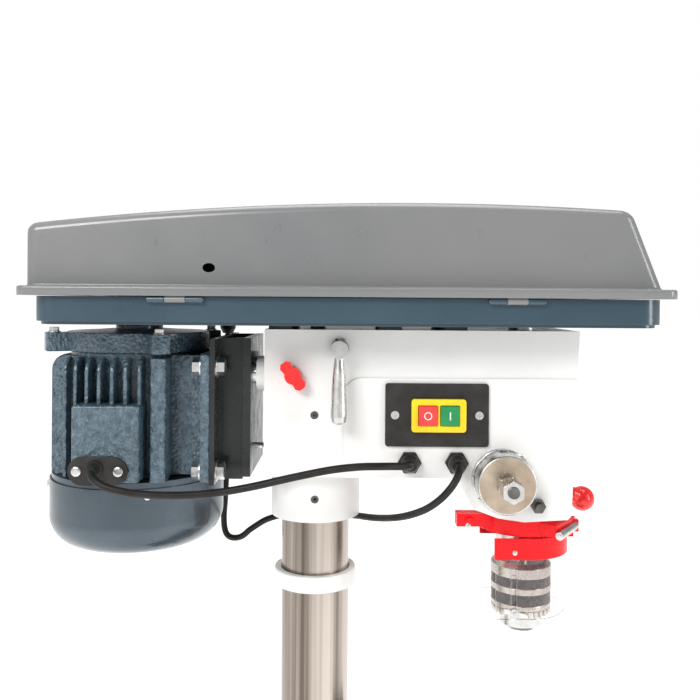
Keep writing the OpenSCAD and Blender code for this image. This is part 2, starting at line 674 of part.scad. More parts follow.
// Return spring in its steel cap on the near side, with the hex nut and the jam nut
module spring_cap() {
    translate([feed_x, panel_y, feed_z]) {
        color("tan") difference() {
            union() {
                rotate([90, 0, 0]) cylinder(r = cap_r, h = cap_h);
                rotate([90, 0, 0]) cylinder(r = cap_r + 1.6, h = 5);
            }
            translate([0, eps, 0]) rotate([90, 0, 0]) cylinder(r = cap_r - 2, h = cap_h - 1);
            rotate([90, 0, 0]) cylinder(r = feed_r + 1, h = cap_h + 2);
            for (a = [0 : 45 : 315]) rotate([0, a, 0]) translate([cap_r - 0.5, -5.6, -2]) cube([4, 8, 4]);
        }
        color("silver") translate([0, -cap_h - 0.2, 0]) {
            difference() {
                translate([0, -5, 0]) hex_y(15, 5);
                translate([0, -6, 0]) rod_y(feed_r + run, 8);
            }
            difference() {
                translate([0, -13.5, 0]) hex_y(15, 8);
                translate([0, -8.8, 0]) rod_y(feed_r + run, 9);
            }
            translate([0, -30, 0]) hex_y(7, 16.4);
        }
    }
}

module return_spring() {
    turns = 5;
    color("gray") translate([feed_x, panel_y - 4, feed_z]) rotate([90, 0, 0]) linear_extrude(18) difference() {
        circle(cap_r - 3);
        circle(feed_r + 2);
        for (i = [1 : turns - 1]) difference() {
            circle(feed_r + 2 + i * (cap_r - feed_r - 5) / turns + 0.8);
            circle(feed_r + 2 + i * (cap_r - feed_r - 5) / turns - 0.8);
            translate([-40, -1.5]) square([80, 3]);
        }
    }
}

// Belt-tension lever on its shaft
lever_y = panel_y - 20;
module tension_lever() {
    color("silver") translate([lever_x, 0, lever_z]) {
        translate([0, lever_y - 3, 0]) rod_y(lever_r, head_w / 2 - 12 - lever_y);
        translate([0, lever_y - 5, 0]) rod_y(8.4, 12);
        translate([0, lever_y, 0]) rotate([180, 0, 0]) rotate_extrude() polygon([[0, 0], [4.6, 0], [4.6, 10],
            [6.4, 24], [8, 62], [7, 68], [3.5, 70.5], [0, 70.5]]);
    }
    color("black") translate([lever_x, panel_y - 3.5, lever_z]) difference() {
        rod_y(8.6, 3);
        translate([0, -eps, 0]) rod_y(lever_r + 0.2, 8);
    }
}

// Wing knob that locks the slide bars
module slide_lock_knob() {
    stem = head_w / 2 - bar_y - bar_r;
    color("red") translate([knob_x, -head_w / 2 - 14, knob_z]) rotate([0, 52, 0]) difference() {
        union() {
            rod_y(8, 13);
            for (s = [-1, 1]) translate([0, 4, 0]) rotate([90, 0, 0]) linear_extrude(5, center = true)
                polygon([[s * 5, -5], [s * 12, -6], [s * 15.5, -3], [s * 15.5, 3], [s * 12, 6], [s * 5, 5]]);
        }
        translate([0, 5, 0]) rod_y(4 + run, 12);
    }
    color("silver") translate([knob_x, -head_w / 2 - 8.8, knob_z]) rod_y(4, stem + 8.3);
}

// Motor bracket: a pressed channel with the slide plate in front of it
channel_w = 106;
module motor_bracket() {
    x0 = bracket_x;
    z0 = frame_z - 2;
    h = frame_top + 15 - z0;
    color("darkslategray") difference() {
        union() {
            translate([x0, -foot_half - 13, z0]) cube([5, 2 * foot_half + 26, h]);
            for (s = [-1, 1]) translate([x0, s * (channel_w / 2 - 2.5) - 2.5, z0]) cube([bracket_t - 2, 5, h]);
        }
        for (y = [-1, 1], z = [-1, 1]) translate([x0 - eps, y * foot_half, foot_z + z * foot_dz]) rod_x(5.3, 8);
    }
    color("white") translate([x0 + bracket_t - 2, 0, 0]) difference() {
        translate([0, -channel_w / 2 - 4, z0 + 3]) cube([8, channel_w + 8, h - 3]);
        translate([-eps, -channel_w / 2 - 5, z0 + h * 0.56]) cube([1.6, channel_w + 10, 3]);
        for (y = [-1, 1]) translate([-eps, y * bar_y, bar_z]) rod_x(bar_r - 2, 10);
    }
}
slide_x = bracket_x + bracket_t + 6;      // front of the slide plate
module slide_bars() {
    for (y = [-1, 1]) {
        color("silver") translate([slide_x, y * bar_y, bar_z]) {
            rod_x(bar_r, 146);
            translate([-18, 0, 0]) hex_x(9.5, 10);
            translate([-9, 0, 0]) rod_x(bar_r - 2 - run, 10);
        }
        color("black") translate([slide_x, y * bar_y, bar_z]) difference() {
            rod_x(11.5, -head_back - 9 - slide_x - gap);
            translate([-eps, 0, 0]) rod_x(bar_r + run, 10);
        }
    }
    color("goldenrod") translate([slide_x, 0, head_z + 19]) {
        rod_x(3, 6);
        translate([6, 0, 0]) rotate([0, 90, 0]) cylinder(r1 = 3, r2 = 0.8, h = 4);
    }
}

// Motor: finned frame with feet and terminal box, end shield, fan cover and bolts
core_r = motor_w / 2 - 7;
fin_r = motor_w / 2 + 11;
ear = motor_w / 2 - 15;                   // tie bolts' distance from the axis along X and Y
foot_x = bracket_x - 9;
box_y = -(motor_w / 2 + 20);              // face of the terminal box
module motor_frame() {
    fins = [-52 : 10.4 : 52];
    color("darkslategray") difference() {
        union() {
            translate([-motor_back, 0, frame_z]) linear_extrude(motor_h) {
                circle(core_r);
                intersection() {
                    circle(fin_r);
                    union() for (f = fins) {
                        translate([f, 0]) square([3.2, 2 * fin_r], center = true);
                        translate([-fin_r, f - 1.6]) square([fin_r, 3.2]);
                    }
                }
                for (x = [-1, 1], y = [-1, 1]) translate([x * ear, y * ear]) circle(10);
            }
            translate([foot_x, -foot_half - 12, frame_z + 0.5]) cube([9, 2 * foot_half + 24, motor_h + 0.5]);
            for (z = [-34, 0, 34]) translate([foot_x - 43, -foot_half - 3, foot_z + z - 2.5])
                cube([44, 2 * foot_half + 6, 5]);
            translate([-motor_back - 39, box_y, frame_z + 2]) cube([63.5, 40, 73]);
        }
        translate([-motor_back, 0, frame_z - eps]) cylinder(r = core_r - 7, h = motor_h + 2 * eps);
        for (y = [-1, 1], z = [-1, 1]) translate([foot_x - eps, y * foot_half, foot_z + z * foot_dz])
            rod_x(5.3, 12);
        for (x = [-1, 1], y = [-1, 1]) translate([-motor_back + x * ear, y * ear, frame_top - 22])
            cylinder(r = 3 + run, h = 23);
    }
    color("gray") translate([-motor_back, 0, frame_z + 18]) difference() {
        cylinder(r = core_r - 7 - run, h = motor_h - 36);
        translate([0, 0, -eps]) cylinder(r = 41, h = motor_h);
    }
}
module motor_end_shield() {
    color("darkslategray") translate([-motor_back, 0, frame_top]) difference() {
        union() {
            plate(motor_w - 6, motor_w - 6, shield_h - 3, 24);
            cylinder(r = core_r + 2, h = shield_h);
            translate([0, 0, shield_h]) cylinder(r1 = core_r - 14, r2 = 30, h = 8);
            translate([0, 0, shield_h]) cylinder(r = 24, h = 11);
        }
        translate([0, 0, -eps]) cylinder(r = 17.5, h = 14);
        translate([0, 0, -eps]) cylinder(r = shaft_r + 1.2, h = 60);
        translate([0, 0, -eps]) cylinder(r = core_r - 12, h = 5);
        for (x = [-1, 1], y = [-1, 1]) translate([x * ear, y * ear, -eps]) cylinder(r = 3.3, h = 40);
    }
    color("silver") translate([-motor_back, 0, frame_top + 2]) difference() {
        cylinder(r = 17.45, h = 10.7);
        translate([0, 0, -eps]) cylinder(r = shaft_r + run, h = 20);
    }
}
module hex_bolt(r, l) {
    translate([0, 0, -l]) cylinder(r = r, h = l);
    cylinder(r = 2.1 * r, h = 1.2);
    translate([0, 0, 1.2]) cylinder(r = 1.75 * r, h = 1.4 * r, $fn = 6);
}
module motor_bolts() {
    color("silver") {
        for (x = [-1, 1], y = [-1, 1]) translate([-motor_back + x * ear, y * ear, frame_top + shield_h - 3])
            hex_bolt(3, shield_h + 16);
        for (y = [-1, 1], z = [-1, 1]) translate([bracket_x + 5, y * foot_half, foot_z + z * foot_dz]) {
            rotate([0, 90, 0]) hex_bolt(5, 22.8);
            translate([-15.6, 0, 0]) difference() {
                rod_x(10, 1.4);
                translate([-eps, 0, 0]) rod_x(4.9, 4);
            }
            translate([-22.6, 0, 0]) hex_x(9, 7);
        }
    }
}
module fan_cover() {
    color("slategray") translate([-motor_back, 0, frame_z - 6 - fan_cover_h]) difference() {
        rotate_extrude() {
            r = fin_r + 2;
            b = 30;
            difference() {
                union() {
                    square([r - b, fan_cover_h]);
                    translate([0, b]) square([r, fan_cover_h - b]);
                    translate([r - b, b]) intersection() { circle(b); translate([0, -b]) square(b); }
                }
                translate([0, sheet]) square([r - b, fan_cover_h]);
                translate([0, b]) square([r - sheet, fan_cover_h]);
                translate([r - b, b]) intersection() {
                    circle(b - sheet);
                    translate([0, -b]) square(b);
                }
            }
        }
        for (k = [1 : 4], i = [0 : 5 * k]) rotate(360 * i / (5 * k + 1)) translate([11 * k, 0, -eps])
            cylinder(r = 3, h = 4);
        translate([fin_r - 8, -30, fan_cover_h - 6]) cube([16, 60, 10]);
    }
    color("darkslategray") translate([-motor_back, 0, frame_z - 6]) difference() {
        cylinder(r = fin_r + 2 - sheet - gap, h = 6);
        translate([0, 0, -eps]) cylinder(r = core_r - 9, h = 8);
    }
}
module motor_gland_plate() {
    translate([-motor_back - 13, box_y, frame_z + 14]) {
        color("black") difference() {
            union() {
                rotate([90, 0, 0]) linear_extrude(3) {
                    circle(11);
                    for (s = [-1, 1]) translate([s * 13, 0]) circle(6);
                    square([26, 12], center = true);
                }
                translate([-2, -7, 3]) rod_y(6.5, 7);
            }
            translate([-2, -12, 3]) rod_y(cord_r + 0.1, 16);
            for (s = [-1, 1]) translate([s * 13, -4, 0]) rod_y(2.1, 5);
        }
        color("silver") for (s = [-1, 1]) translate([s * 13, -5, 0]) rod_y(4, 2);
    }
}

// Rotor on its shaft, with the fan below and the stepped pulley above
module motor_rotor() {
    color("silver") translate([-motor_back, 0, 0]) {
        translate([0, 0, frame_z - 46]) cylinder(r = shaft_r, h = pulley_z + 66 - frame_z + 46);
        translate([0, 0, frame_z + 20]) cylinder(r = 40.2, h = motor_h - 40);
    }
}
module cooling_fan() {
    color("black") translate([-motor_back, 0, frame_z - 42]) difference() {
        union() {
            cylinder(r = 18, h = 26);
            cylinder(r = 66, h = 2.5);
            for (a = [0 : 45 : 315]) rotate(a) translate([14, -1.2, 0]) cube([52, 2.4, 26]);
        }
        translate([0, 0, -eps]) cylinder(r = shaft_r + run, h = 40);
    }
}
function pulley_outline(steps, inner) = concat([[inner, 0]],
    [for (i = [0 : len(steps) - 1]) let (r = steps[i], z = i * step_h, m = z + step_h / 2) each
        [[r, z], [r, m - 6.2], [r - groove, m - 3.2], [r - groove, m + 3.2], [r, m + 6.2], [r, z + step_h]]],
    [[inner, len(steps) * step_h]]);
module stepped_pulley(steps, inner) {
    rotate_extrude() polygon(pulley_outline(steps, inner));
}
module motor_pulley() {
    color("silver") translate([-motor_back, 0, pulley_z]) stepped_pulley(motor_steps, shaft_r + run);
}
module idler_arm() {
    color("gray") {
        translate([0, 0, pan_z + sheet + 0.6]) linear_extrude(6.5) {
            circle(14);
            translate([-11, 0]) square([22, idler_pin[1]]);
            translate(idler_pin) circle(14);
        }
        translate([idler_pin[0], idler_pin[1], head_top - 30]) cylinder(r = shaft_r, h = pan_z + 3 - head_top + 30);
        translate([0, 0, pan_z + 5]) cylinder(r = shaft_r, h = pulley_z + 66 - pan_z - 5);
    }
}
module idler_pulley() {
    color("silver") translate([0, 0, pulley_z]) {
        difference() {
            stepped_pulley(idler_steps, 14);
            translate([0, 0, -eps]) cylinder(r = 17.5, h = 13);
            translate([0, 0, 4 * step_h - 12]) cylinder(r = 17.5, h = 13);
        }
        for (z = [0.5, 4 * step_h - 11.5]) translate([0, 0, z]) difference() {
            cylinder(r = 17.45, h = 11);
            translate([0, 0, -eps]) cylinder(r = shaft_r + run, h = 13);
        }
    }
}

// Splined sleeve with the spindle's pulley, on two ball bearings in the head
module spline_2d(r) {
    circle(r - 1.4);
    for (a = [0 : 60 : 300]) rotate(a) translate([r - 3, -1.8]) square([3, 3.6]);
}
module spindle_pulley() {
    color("silver") translate([throat, 0, 0]) difference() {
        union() {
            translate([0, 0, head_top - 28 + gap]) cylinder(r = 15, h = pulley_z + 70 - head_top + 28);
            translate([0, 0, pulley_z]) stepped_pulley(spindle_steps, 10);
            translate([0, 0, pulley_z + 4 * step_h]) cylinder(r = 22, h = 6, $fn = 6);
        }
        translate([0, 0, head_top - 30]) linear_extrude(pulley_z + 80 - head_top + 30) {
            circle(spindle_d / 2 - 1.4 + 0.25);
            for (a = [0 : 60 : 300]) rotate(a) translate([spindle_d / 2 - 3, -2.1]) square([3.3, 4.2]);
        }
    }
}
module head_bearings() {
    color("silver") for (z = [head_top - 27.5, head_top - 13.5]) translate([throat, 0, z]) difference() {
        cylinder(r = 27.45, h = 13);
        translate([0, 0, -eps]) cylinder(r = 15 + run, h = 15);
    }
}

// Belts round two pulleys: an arc on each and two straight runs
module loop_2d(x1, r1, x2, r2) {
    lean = acos((r1 - r2) / (x2 - x1));
    polygon(concat([for (i = [0 : 20]) let (a = lean + (360 - 2 * lean) * i / 20) [x1 + r1 * cos(a), r1 * sin(a)]],
        [for (i = [0 : 20]) let (a = -lean + 2 * lean * i / 20) [x2 + r2 * cos(a), r2 * sin(a)]]));
}
module belt(x1, r1, x2, r2, level) {
    translate([0, 0, pulley_z + (level + 0.5) * step_h - 3.2]) linear_extrude(6.4) difference() {
        loop_2d(x1, r1 - 0.4, x2, r2 - 0.4);
        loop_2d(x1, r1 - 6.6, x2, r2 - 6.6);
    }
}
module motor_belt() {
    color("black") belt(-motor_back, motor_steps[motor_level], 0, idler_steps[motor_level], motor_level);
}
module spindle_belt() {
    color("black") belt(0, idler_steps[spindle_level], throat, spindle_steps[spindle_level], spindle_level);
}

// Quill with its rack and keyway, and its two bearings
module quill() {
    root = -(throat - feed_x - pinion_r - 2.4);
    tip = root - 4.4;
    rack0 = 67;
    rack1 = 96 + quill_travel;
    first = ceil((quill_z + rack0 - feed_z) / pitch);
    last = floor((quill_z + rack1 - feed_z) / pitch) - 1;
    color("silver") translate([throat, 0, 0]) difference() {
        union() {
            difference() {
                translate([0, 0, quill_z]) cylinder(r = quill_r, h = quill_top - quill_z);
                translate([-quill_r - eps, -quill_r, quill_z + rack0])
                    cube([quill_r + eps + root, 2 * quill_r, rack1 - rack0]);
            }
            for (i = [first : last]) translate([0, 11, feed_z + (i + 0.5) * pitch]) rotate([90, 0, 0])
                linear_extrude(22) polygon([[root + 0.5, -1.9], [tip, -0.6], [tip, 0.6], [root + 0.5, 1.9]]);
        }
        translate([0, 0, quill_z - eps]) cylinder(r = 12, h = quill_top);
        translate([0, 0, quill_z - eps]) cylinder(r = 20, h = 17);
        translate([0, 0, quill_top - 16]) cylinder(r = 20, h = 17);
        translate([-3, -quill_r - eps, quill_z + 50]) cube([9, 4, quill_travel + 14]);
    }
}
module quill_bearings() {
    color("gray") for (z = [quill_z + 3.8, quill_top - 15.9]) translate([throat, 0, z]) difference() {
        cylinder(r = 19.95, h = 12);
        translate([0, 0, -eps]) cylinder(r = spindle_d / 2 + run, h = 14);
    }
}
module spindle() {
    color("silver") translate([throat, 0, 0]) {
        translate([0, 0, chuck_z - 26]) cylinder(r1 = 7, r2 = spindle_d / 2, h = 26);
        translate([0, 0, chuck_z]) cylinder(r = spindle_d / 2, h = quill_top + 3 - chuck_z);
        translate([0, 0, quill_top]) linear_extrude(pulley_z + 52 - quill_top) spline_2d(spindle_d / 2);
        difference() {
            translate([0, 0, quill_z - 10]) cylinder(r = 15, h = 13.5);
            translate([0, 0, quill_z - 12]) cylinder(r = spindle_d / 2 - 1, h = 20);
        }
    }
}

// Guard: clamp on the quill, flip-up band with the clear shield and its wing nut
band_h = 21;
strap_z = head_z - 142;                   // lower end of the strap
screw_z = strap_z + 4.5;
guard_screw_x = throat - 16;
module guard_clamp() {
    color("red") difference() {
        union() {
            translate([throat, 0, clamp_z]) cylinder(r = shield_r + 0.5, h = clamp_h);
            translate([throat - 71, -26, clamp_z + 5]) cube([40, 16, 13]);
            for (y = [-20, 14]) translate([throat + shield_r - 8, y, flip_z - 5]) cube([flip_x - throat - shield_r + 13, 6, 12]);
        }
        translate([throat, 0, clamp_z - eps]) cylinder(r = quill_r + run, h = clamp_h + 2 * eps);
        translate([throat - 72, -19, clamp_z - eps]) cube([quill_r + 22, 2, clamp_h + 2 * eps]);
        translate([throat - 57.4, -32, clamp_z + 10.5]) rod_y(2.6, 24);
        translate([flip_x, -21, flip_z]) rod_y(2 + run, 42);
    }
    color("silver") {
        translate([throat - 57.4, -29, clamp_z + 10.5]) {
            rod_y(2.5, 22);
            translate([0, -0.5, 0]) rod_y(4.5, 3.4);
        }
        translate([flip_x, -24, flip_z]) rod_y(2, 48);
        for (y = [-24, 20.2]) translate([flip_x, y, flip_z]) rod_y(3.6, 3.8);
    }
}
module u_2d(r0, r1, back) {
    difference() {
        union() {
            circle(r1);
            translate([-back, -r1]) square([back, 2 * r1]);
        }
        circle(r0);
        translate([-back - eps, -r0]) square([back + eps, 2 * r0]);
        translate([-2 * r1 - back, -2 * r1]) square([2 * r1, 4 * r1]);
    }
}
module guard_band() {
    color("red") difference() {
        union() {
            translate([throat, 0, clamp_z - 1 - band_h]) linear_extrude(band_h)
                u_2d(shield_r + 0.3, shield_r + 2.6, 36);
            translate([throat + shield_r + 1, -13.5, flip_z - 12]) cube([6, 27, 12]);
            translate([flip_x, -13.5, flip_z]) rod_y(4.2, 27);
        }
        translate([flip_x, -14, flip_z]) rod_y(2 + run, 28);
        translate([throat, 0, flip_z - 20]) cylinder(r = shield_r + 0.3, h = 22);
        translate([guard_screw_x, -shield_r - 4, clamp_z - 15]) rod_y(1.6, 8);
    }
    color("silver") {
        translate([guard_screw_x - 3.5, -shield_r + 2.6, strap_z]) cube([7, 1.4, clamp_z - 2 - strap_z]);
        translate([guard_screw_x, -shield_r - 6, screw_z]) rod_y(1.8, 9);
    }
}
module guard_shield() {
    color([0.8, 0.9, 0.95, 0.4]) difference() {
        translate([throat, 0, head_z - 145]) linear_extrude(80) u_2d(shield_r - 2.2, shield_r, 34);
        translate([guard_screw_x, -shield_r - 2, screw_z]) rod_y(2.2, 6);
        translate([guard_screw_x - 2.2, -shield_r - 2, screw_z]) cube([4.4, 6, 36]);
    }
}
module guard_wing_nut() {
    color("silver") translate([guard_screw_x, -shield_r - 5.2, screw_z]) difference() {
        union() {
            rod_y(4.4, 4.6);
            rotate([0, 14, 0]) translate([-11, 0.6, -2.4]) cube([22, 2.6, 4.8]);
        }
        translate([0, -eps, 0]) rod_y(1.8 + run, 10);
    }
}

// Chuck: body with three inclined jaws, and the toothed sleeve round it
jaw_lean = 14;
body_r = chuck_r - 7;
jaw_l = (body_r - 15.9) / sin(jaw_lean);
module jaw_place(i) {
    rotate(90 + 120 * i) translate([11, 0, chuck_z - sleeve_len - 16]) rotate([0, jaw_lean, 0]) children();
}
module chuck_body() {
    color("dimgray") translate([throat, 0, 0]) difference() {
        union() {
            translate([0, 0, chuck_z - sleeve_len]) cylinder(r = body_r, h = sleeve_len - 2);
            translate([0, 0, chuck_z - sleeve_len - 13]) cylinder(r = nose_r, h = 14);
            translate([0, 0, chuck_z - sleeve_len - 17]) cylinder(r1 = nose_r - 4, r2 = nose_r, h = 4);
        }
        translate([0, 0, chuck_z - 26]) cylinder(r1 = 7, r2 = spindle_d / 2, h = 26);
        translate([0, 0, chuck_z - sleeve_len - 18]) cylinder(r = 8, h = 46);
        for (i = [0 : 2]) jaw_place(i) translate([0, 0, -10]) cylinder(r = 4.6, h = 64);
    }
}
module chuck_sleeve() {
    bands = 5;
    band = (sleeve_len - 12) / bands;
    color("silver") translate([throat, 0, chuck_z - sleeve_len]) {
        difference() {
            union() {
                cylinder(r = chuck_r - 1, h = sleeve_len - 4);
                translate([0, 0, sleeve_len - 4]) cylinder(r1 = chuck_r - 1, r2 = chuck_r - 5, h = 4);
                for (i = [0 : bands - 1]) translate([0, 0, 9 + i * band]) cylinder(r = chuck_r, h = band - 2);
                cylinder(r = chuck_r, h = 7);
            }
            translate([0, 0, -eps]) cylinder(r = body_r + run, h = sleeve_len + 2 * eps);
            for (a = [0 : 12 : 348]) rotate(a) translate([chuck_r - 4, -1.6, -eps]) cube([6, 3.2, 7]);
        }
    }
}
module jaw(i) {
    color("gray") translate([throat, 0, 0]) intersection() {
        jaw_place(i) cylinder(r = 4.5, h = jaw_l);
        translate([0, 0, chuck_z - sleeve_len - 16]) cylinder(r = 60, h = 60);
    }
}
module chuck_jaw_1() { jaw(0); }
module chuck_jaw_2() { jaw(1); }
module chuck_jaw_3() { jaw(2); }

base();
column_flange();
flange_bolts();
column();
rack();
rack_ring();
head_casting();
head_screws();
belt_pan();
pan_pads();
switch_plate();
switch_bezel();
switch_screws();
stop_button();
start_button();
cable_glands();
motor_lead();
interlock_lead();
spring_cap();
return_spring();
tension_lever();
slide_lock_knob();
motor_bracket();
slide_bars();
motor_bolts();
motor_frame();
motor_end_shield();
fan_cover();
motor_gland_plate();
motor_rotor();
cooling_fan();
motor_pulley();
idler_arm();
idler_pulley();
spindle_pulley();
head_bearings();
motor_belt();
spindle_belt();
quill();
quill_bearings();
spindle();
guard_clamp();
guard_band();
guard_shield();
guard_wing_nut();
chuck_body();
chuck_sleeve();
chuck_jaw_1();
chuck_jaw_2();
chuck_jaw_3();
feed_shaft();
feed_arms();
table_bracket();
bracket_lock();
lift_gear();
table_crank();
tilt_bolt();
table();
lid();
lid_hinges();
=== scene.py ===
import json
import math

import bmesh
import bpy
from mathutils import Matrix, Vector


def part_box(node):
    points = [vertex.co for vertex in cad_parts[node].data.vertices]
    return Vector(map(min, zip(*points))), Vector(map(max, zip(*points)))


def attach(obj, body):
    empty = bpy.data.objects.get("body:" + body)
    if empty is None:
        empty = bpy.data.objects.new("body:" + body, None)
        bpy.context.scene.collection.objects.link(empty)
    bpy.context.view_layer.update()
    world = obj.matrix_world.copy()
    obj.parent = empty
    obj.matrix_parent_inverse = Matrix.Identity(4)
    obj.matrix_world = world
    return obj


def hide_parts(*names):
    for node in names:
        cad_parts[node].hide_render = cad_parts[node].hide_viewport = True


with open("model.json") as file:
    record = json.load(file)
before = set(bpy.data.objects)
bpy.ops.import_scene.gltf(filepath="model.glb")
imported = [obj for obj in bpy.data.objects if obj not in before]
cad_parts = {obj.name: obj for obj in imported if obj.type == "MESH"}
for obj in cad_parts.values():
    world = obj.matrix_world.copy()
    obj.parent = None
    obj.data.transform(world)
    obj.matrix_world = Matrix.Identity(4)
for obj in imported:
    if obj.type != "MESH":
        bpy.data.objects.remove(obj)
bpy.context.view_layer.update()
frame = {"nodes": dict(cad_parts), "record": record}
body_of = {n: b for b, ns in frame["record"]["behaviour"]["bodies"].items() for n in ns}

# ---------------------------------------------------------------------------------------------------
# Camera, floor and light. The camera stands a step to the operator's left of the machine at head
# height and looks level, with the view dropped a little; the light is a soft white studio.
# ---------------------------------------------------------------------------------------------------
scene = bpy.context.scene
scene.view_settings.view_transform = "Standard"

camera_data = bpy.data.cameras.new("camera")
camera = bpy.data.objects.new("camera", camera_data)
scene.collection.objects.link(camera)
camera_data.sensor_width = 36.0
camera_data.lens = 41.1
camera_data.clip_start = 0.02
camera.location = (0.0347, -0.840, 0.912)
camera_data.shift_y = -0.0714
camera.rotation_euler = (math.radians(90), math.radians(-0.4), 0)
scene.camera = camera


def area_light(name, place, target, size, watts):
    data = bpy.data.lights.new(name, "AREA")
    data.shape = "RECTANGLE"
    data.size, data.size_y = size
    data.energy = watts
    lamp = bpy.data.objects.new(name, data)
    scene.collection.objects.link(lamp)
    lamp.location = place
    lamp.rotation_euler = (Vector(target) - Vector(place)).to_track_quat("-Z", "Y").to_euler()


area_light("key_light", (-0.9, -1.7, 1.9), (0.05, 0, 0.85), (1.0, 0.7), 30)
area_light("fill_light", (1.7, -0.9, 1.2), (0.1, 0, 0.75), (0.4, 1.2), 13)
area_light("top_light", (0.1, 0.1, 2.4), (0.05, 0, 0.9), (1.6, 1.0), 20)

world = bpy.data.worlds.new("studio")
scene.world = world
world.use_nodes = True
studio = world.node_tree
directions = studio.nodes.new("ShaderNodeTexCoord")
around = studio.nodes.new("ShaderNodeTexGradient")
around.gradient_type = "RADIAL"
walls = studio.nodes.new("ShaderNodeValToRGB")
WALL_TONES = [(0.0, 0.8), (0.08, 1.0), (0.14, 1.3), (0.20, 0.35), (0.25, 0.22), (0.30, 0.55), (0.34, 0.75),
              (0.38, 0.16), (0.44, 0.20), (0.50, 1.0), (0.60, 0.5), (0.75, 0.9)]
while len(walls.color_ramp.elements) < len(WALL_TONES):
    walls.color_ramp.elements.new(0.5)
for tone, (place, grey) in zip(walls.color_ramp.elements, WALL_TONES):
    tone.position = place
    tone.color = (grey, grey * 0.985, grey * 0.96, 1)
backdrop = studio.nodes.new("ShaderNodeBackground")
backdrop.inputs["Color"].default_value = (1, 1, 1, 1)
seen = studio.nodes.new("ShaderNodeLightPath")
joined = studio.nodes.new("ShaderNodeMixShader")
studio.links.new(directions.outputs["Generated"], around.inputs["Vector"])
studio.links.new(around.outputs["Color"], walls.inputs["Fac"])
studio.links.new(walls.outputs["Color"], studio.nodes["Background"].inputs["Color"])
studio.nodes["Background"].inputs["Strength"].default_value = 0.62
studio.links.new(seen.outputs["Is Camera Ray"], joined.inputs[0])
studio.links.new(studio.nodes["Background"].outputs[0], joined.inputs[1])
studio.links.new(backdrop.outputs[0], joined.inputs[2])
studio.links.new(joined.outputs[0], studio.nodes["World Output"].inputs["Surface"])


def new_mesh(name, bm):
    mesh = bpy.data.meshes.new(name)
    bm.to_mesh(mesh)
    bm.free()
    piece = bpy.data.objects.new(name, mesh)
    scene.collection.objects.link(piece)
    return piece


FLOOR_R = 40.0
bm = bmesh.new()
bmesh.ops.create_circle(bm, cap_ends=True, radius=FLOOR_R, segments=96)
floor = new_mesh("studio_floor", bm)
floor_finish = bpy.data.materials.new("pale_floor")
floor_finish.use_nodes = True
floor_shader = floor_finish.node_tree.nodes["Principled BSDF"]
floor_shader.inputs["Base Color"].default_value = (0.92, 0.92, 0.92, 1)
floor_shader.inputs["Roughness"].default_value = 0.7
floor_shader.inputs["Emission Color"].default_value = (1, 1, 1, 1)
floor_shader.inputs["Emission Strength"].default_value = 0.66
floor.data.materials.append(floor_finish)

# ---------------------------------------------------------------------------------------------------
# Two leads in round black rubber sheath, 7 mm thick. One feeds the motor from the switch box, the
# other runs under the head, behind the collar and up to the pan, to the switch that the lid works.
# ---------------------------------------------------------------------------------------------------
CORD_D = 0.007
MM = 0.001
MOTOR_ROUTE = [(-201, -102, 754), (-200.5, -112, 753), (-195, -121, 749), (-182, -126, 743),
               (-154, -125, 737), (-114, -120, 735), (-82, -116, 737), (-52, -114, 742), (-17, -113, 750),
               (18, -112, 757), (44, -112, 760), (66, -109, 760), (83, -101, 758.5), (91.5, -91, 756.5),
               (93.3, -82.5, 755.5)]
INTERLOCK_ROUTE = [(138.7, -82.5, 755.5), (138.2, -92, 754.5), (135, -100, 748), (128, -103, 738),
                   (118, -98, 726), (105, -83, 713), (86, -54, 699), (64, -14, 687), (38, 30, 678),
                   (4, 60, 672), (-30, 76, 667), (-58, 82, 659), (-78, 87, 646), (-92, 91, 635),
                   (-106, 94, 636), (-111, 96, 651), (-110, 97, 680), (-108, 97, 730), (-108, 97, 780),
                   (-108, 97, 830), (-108, 97, 872)]


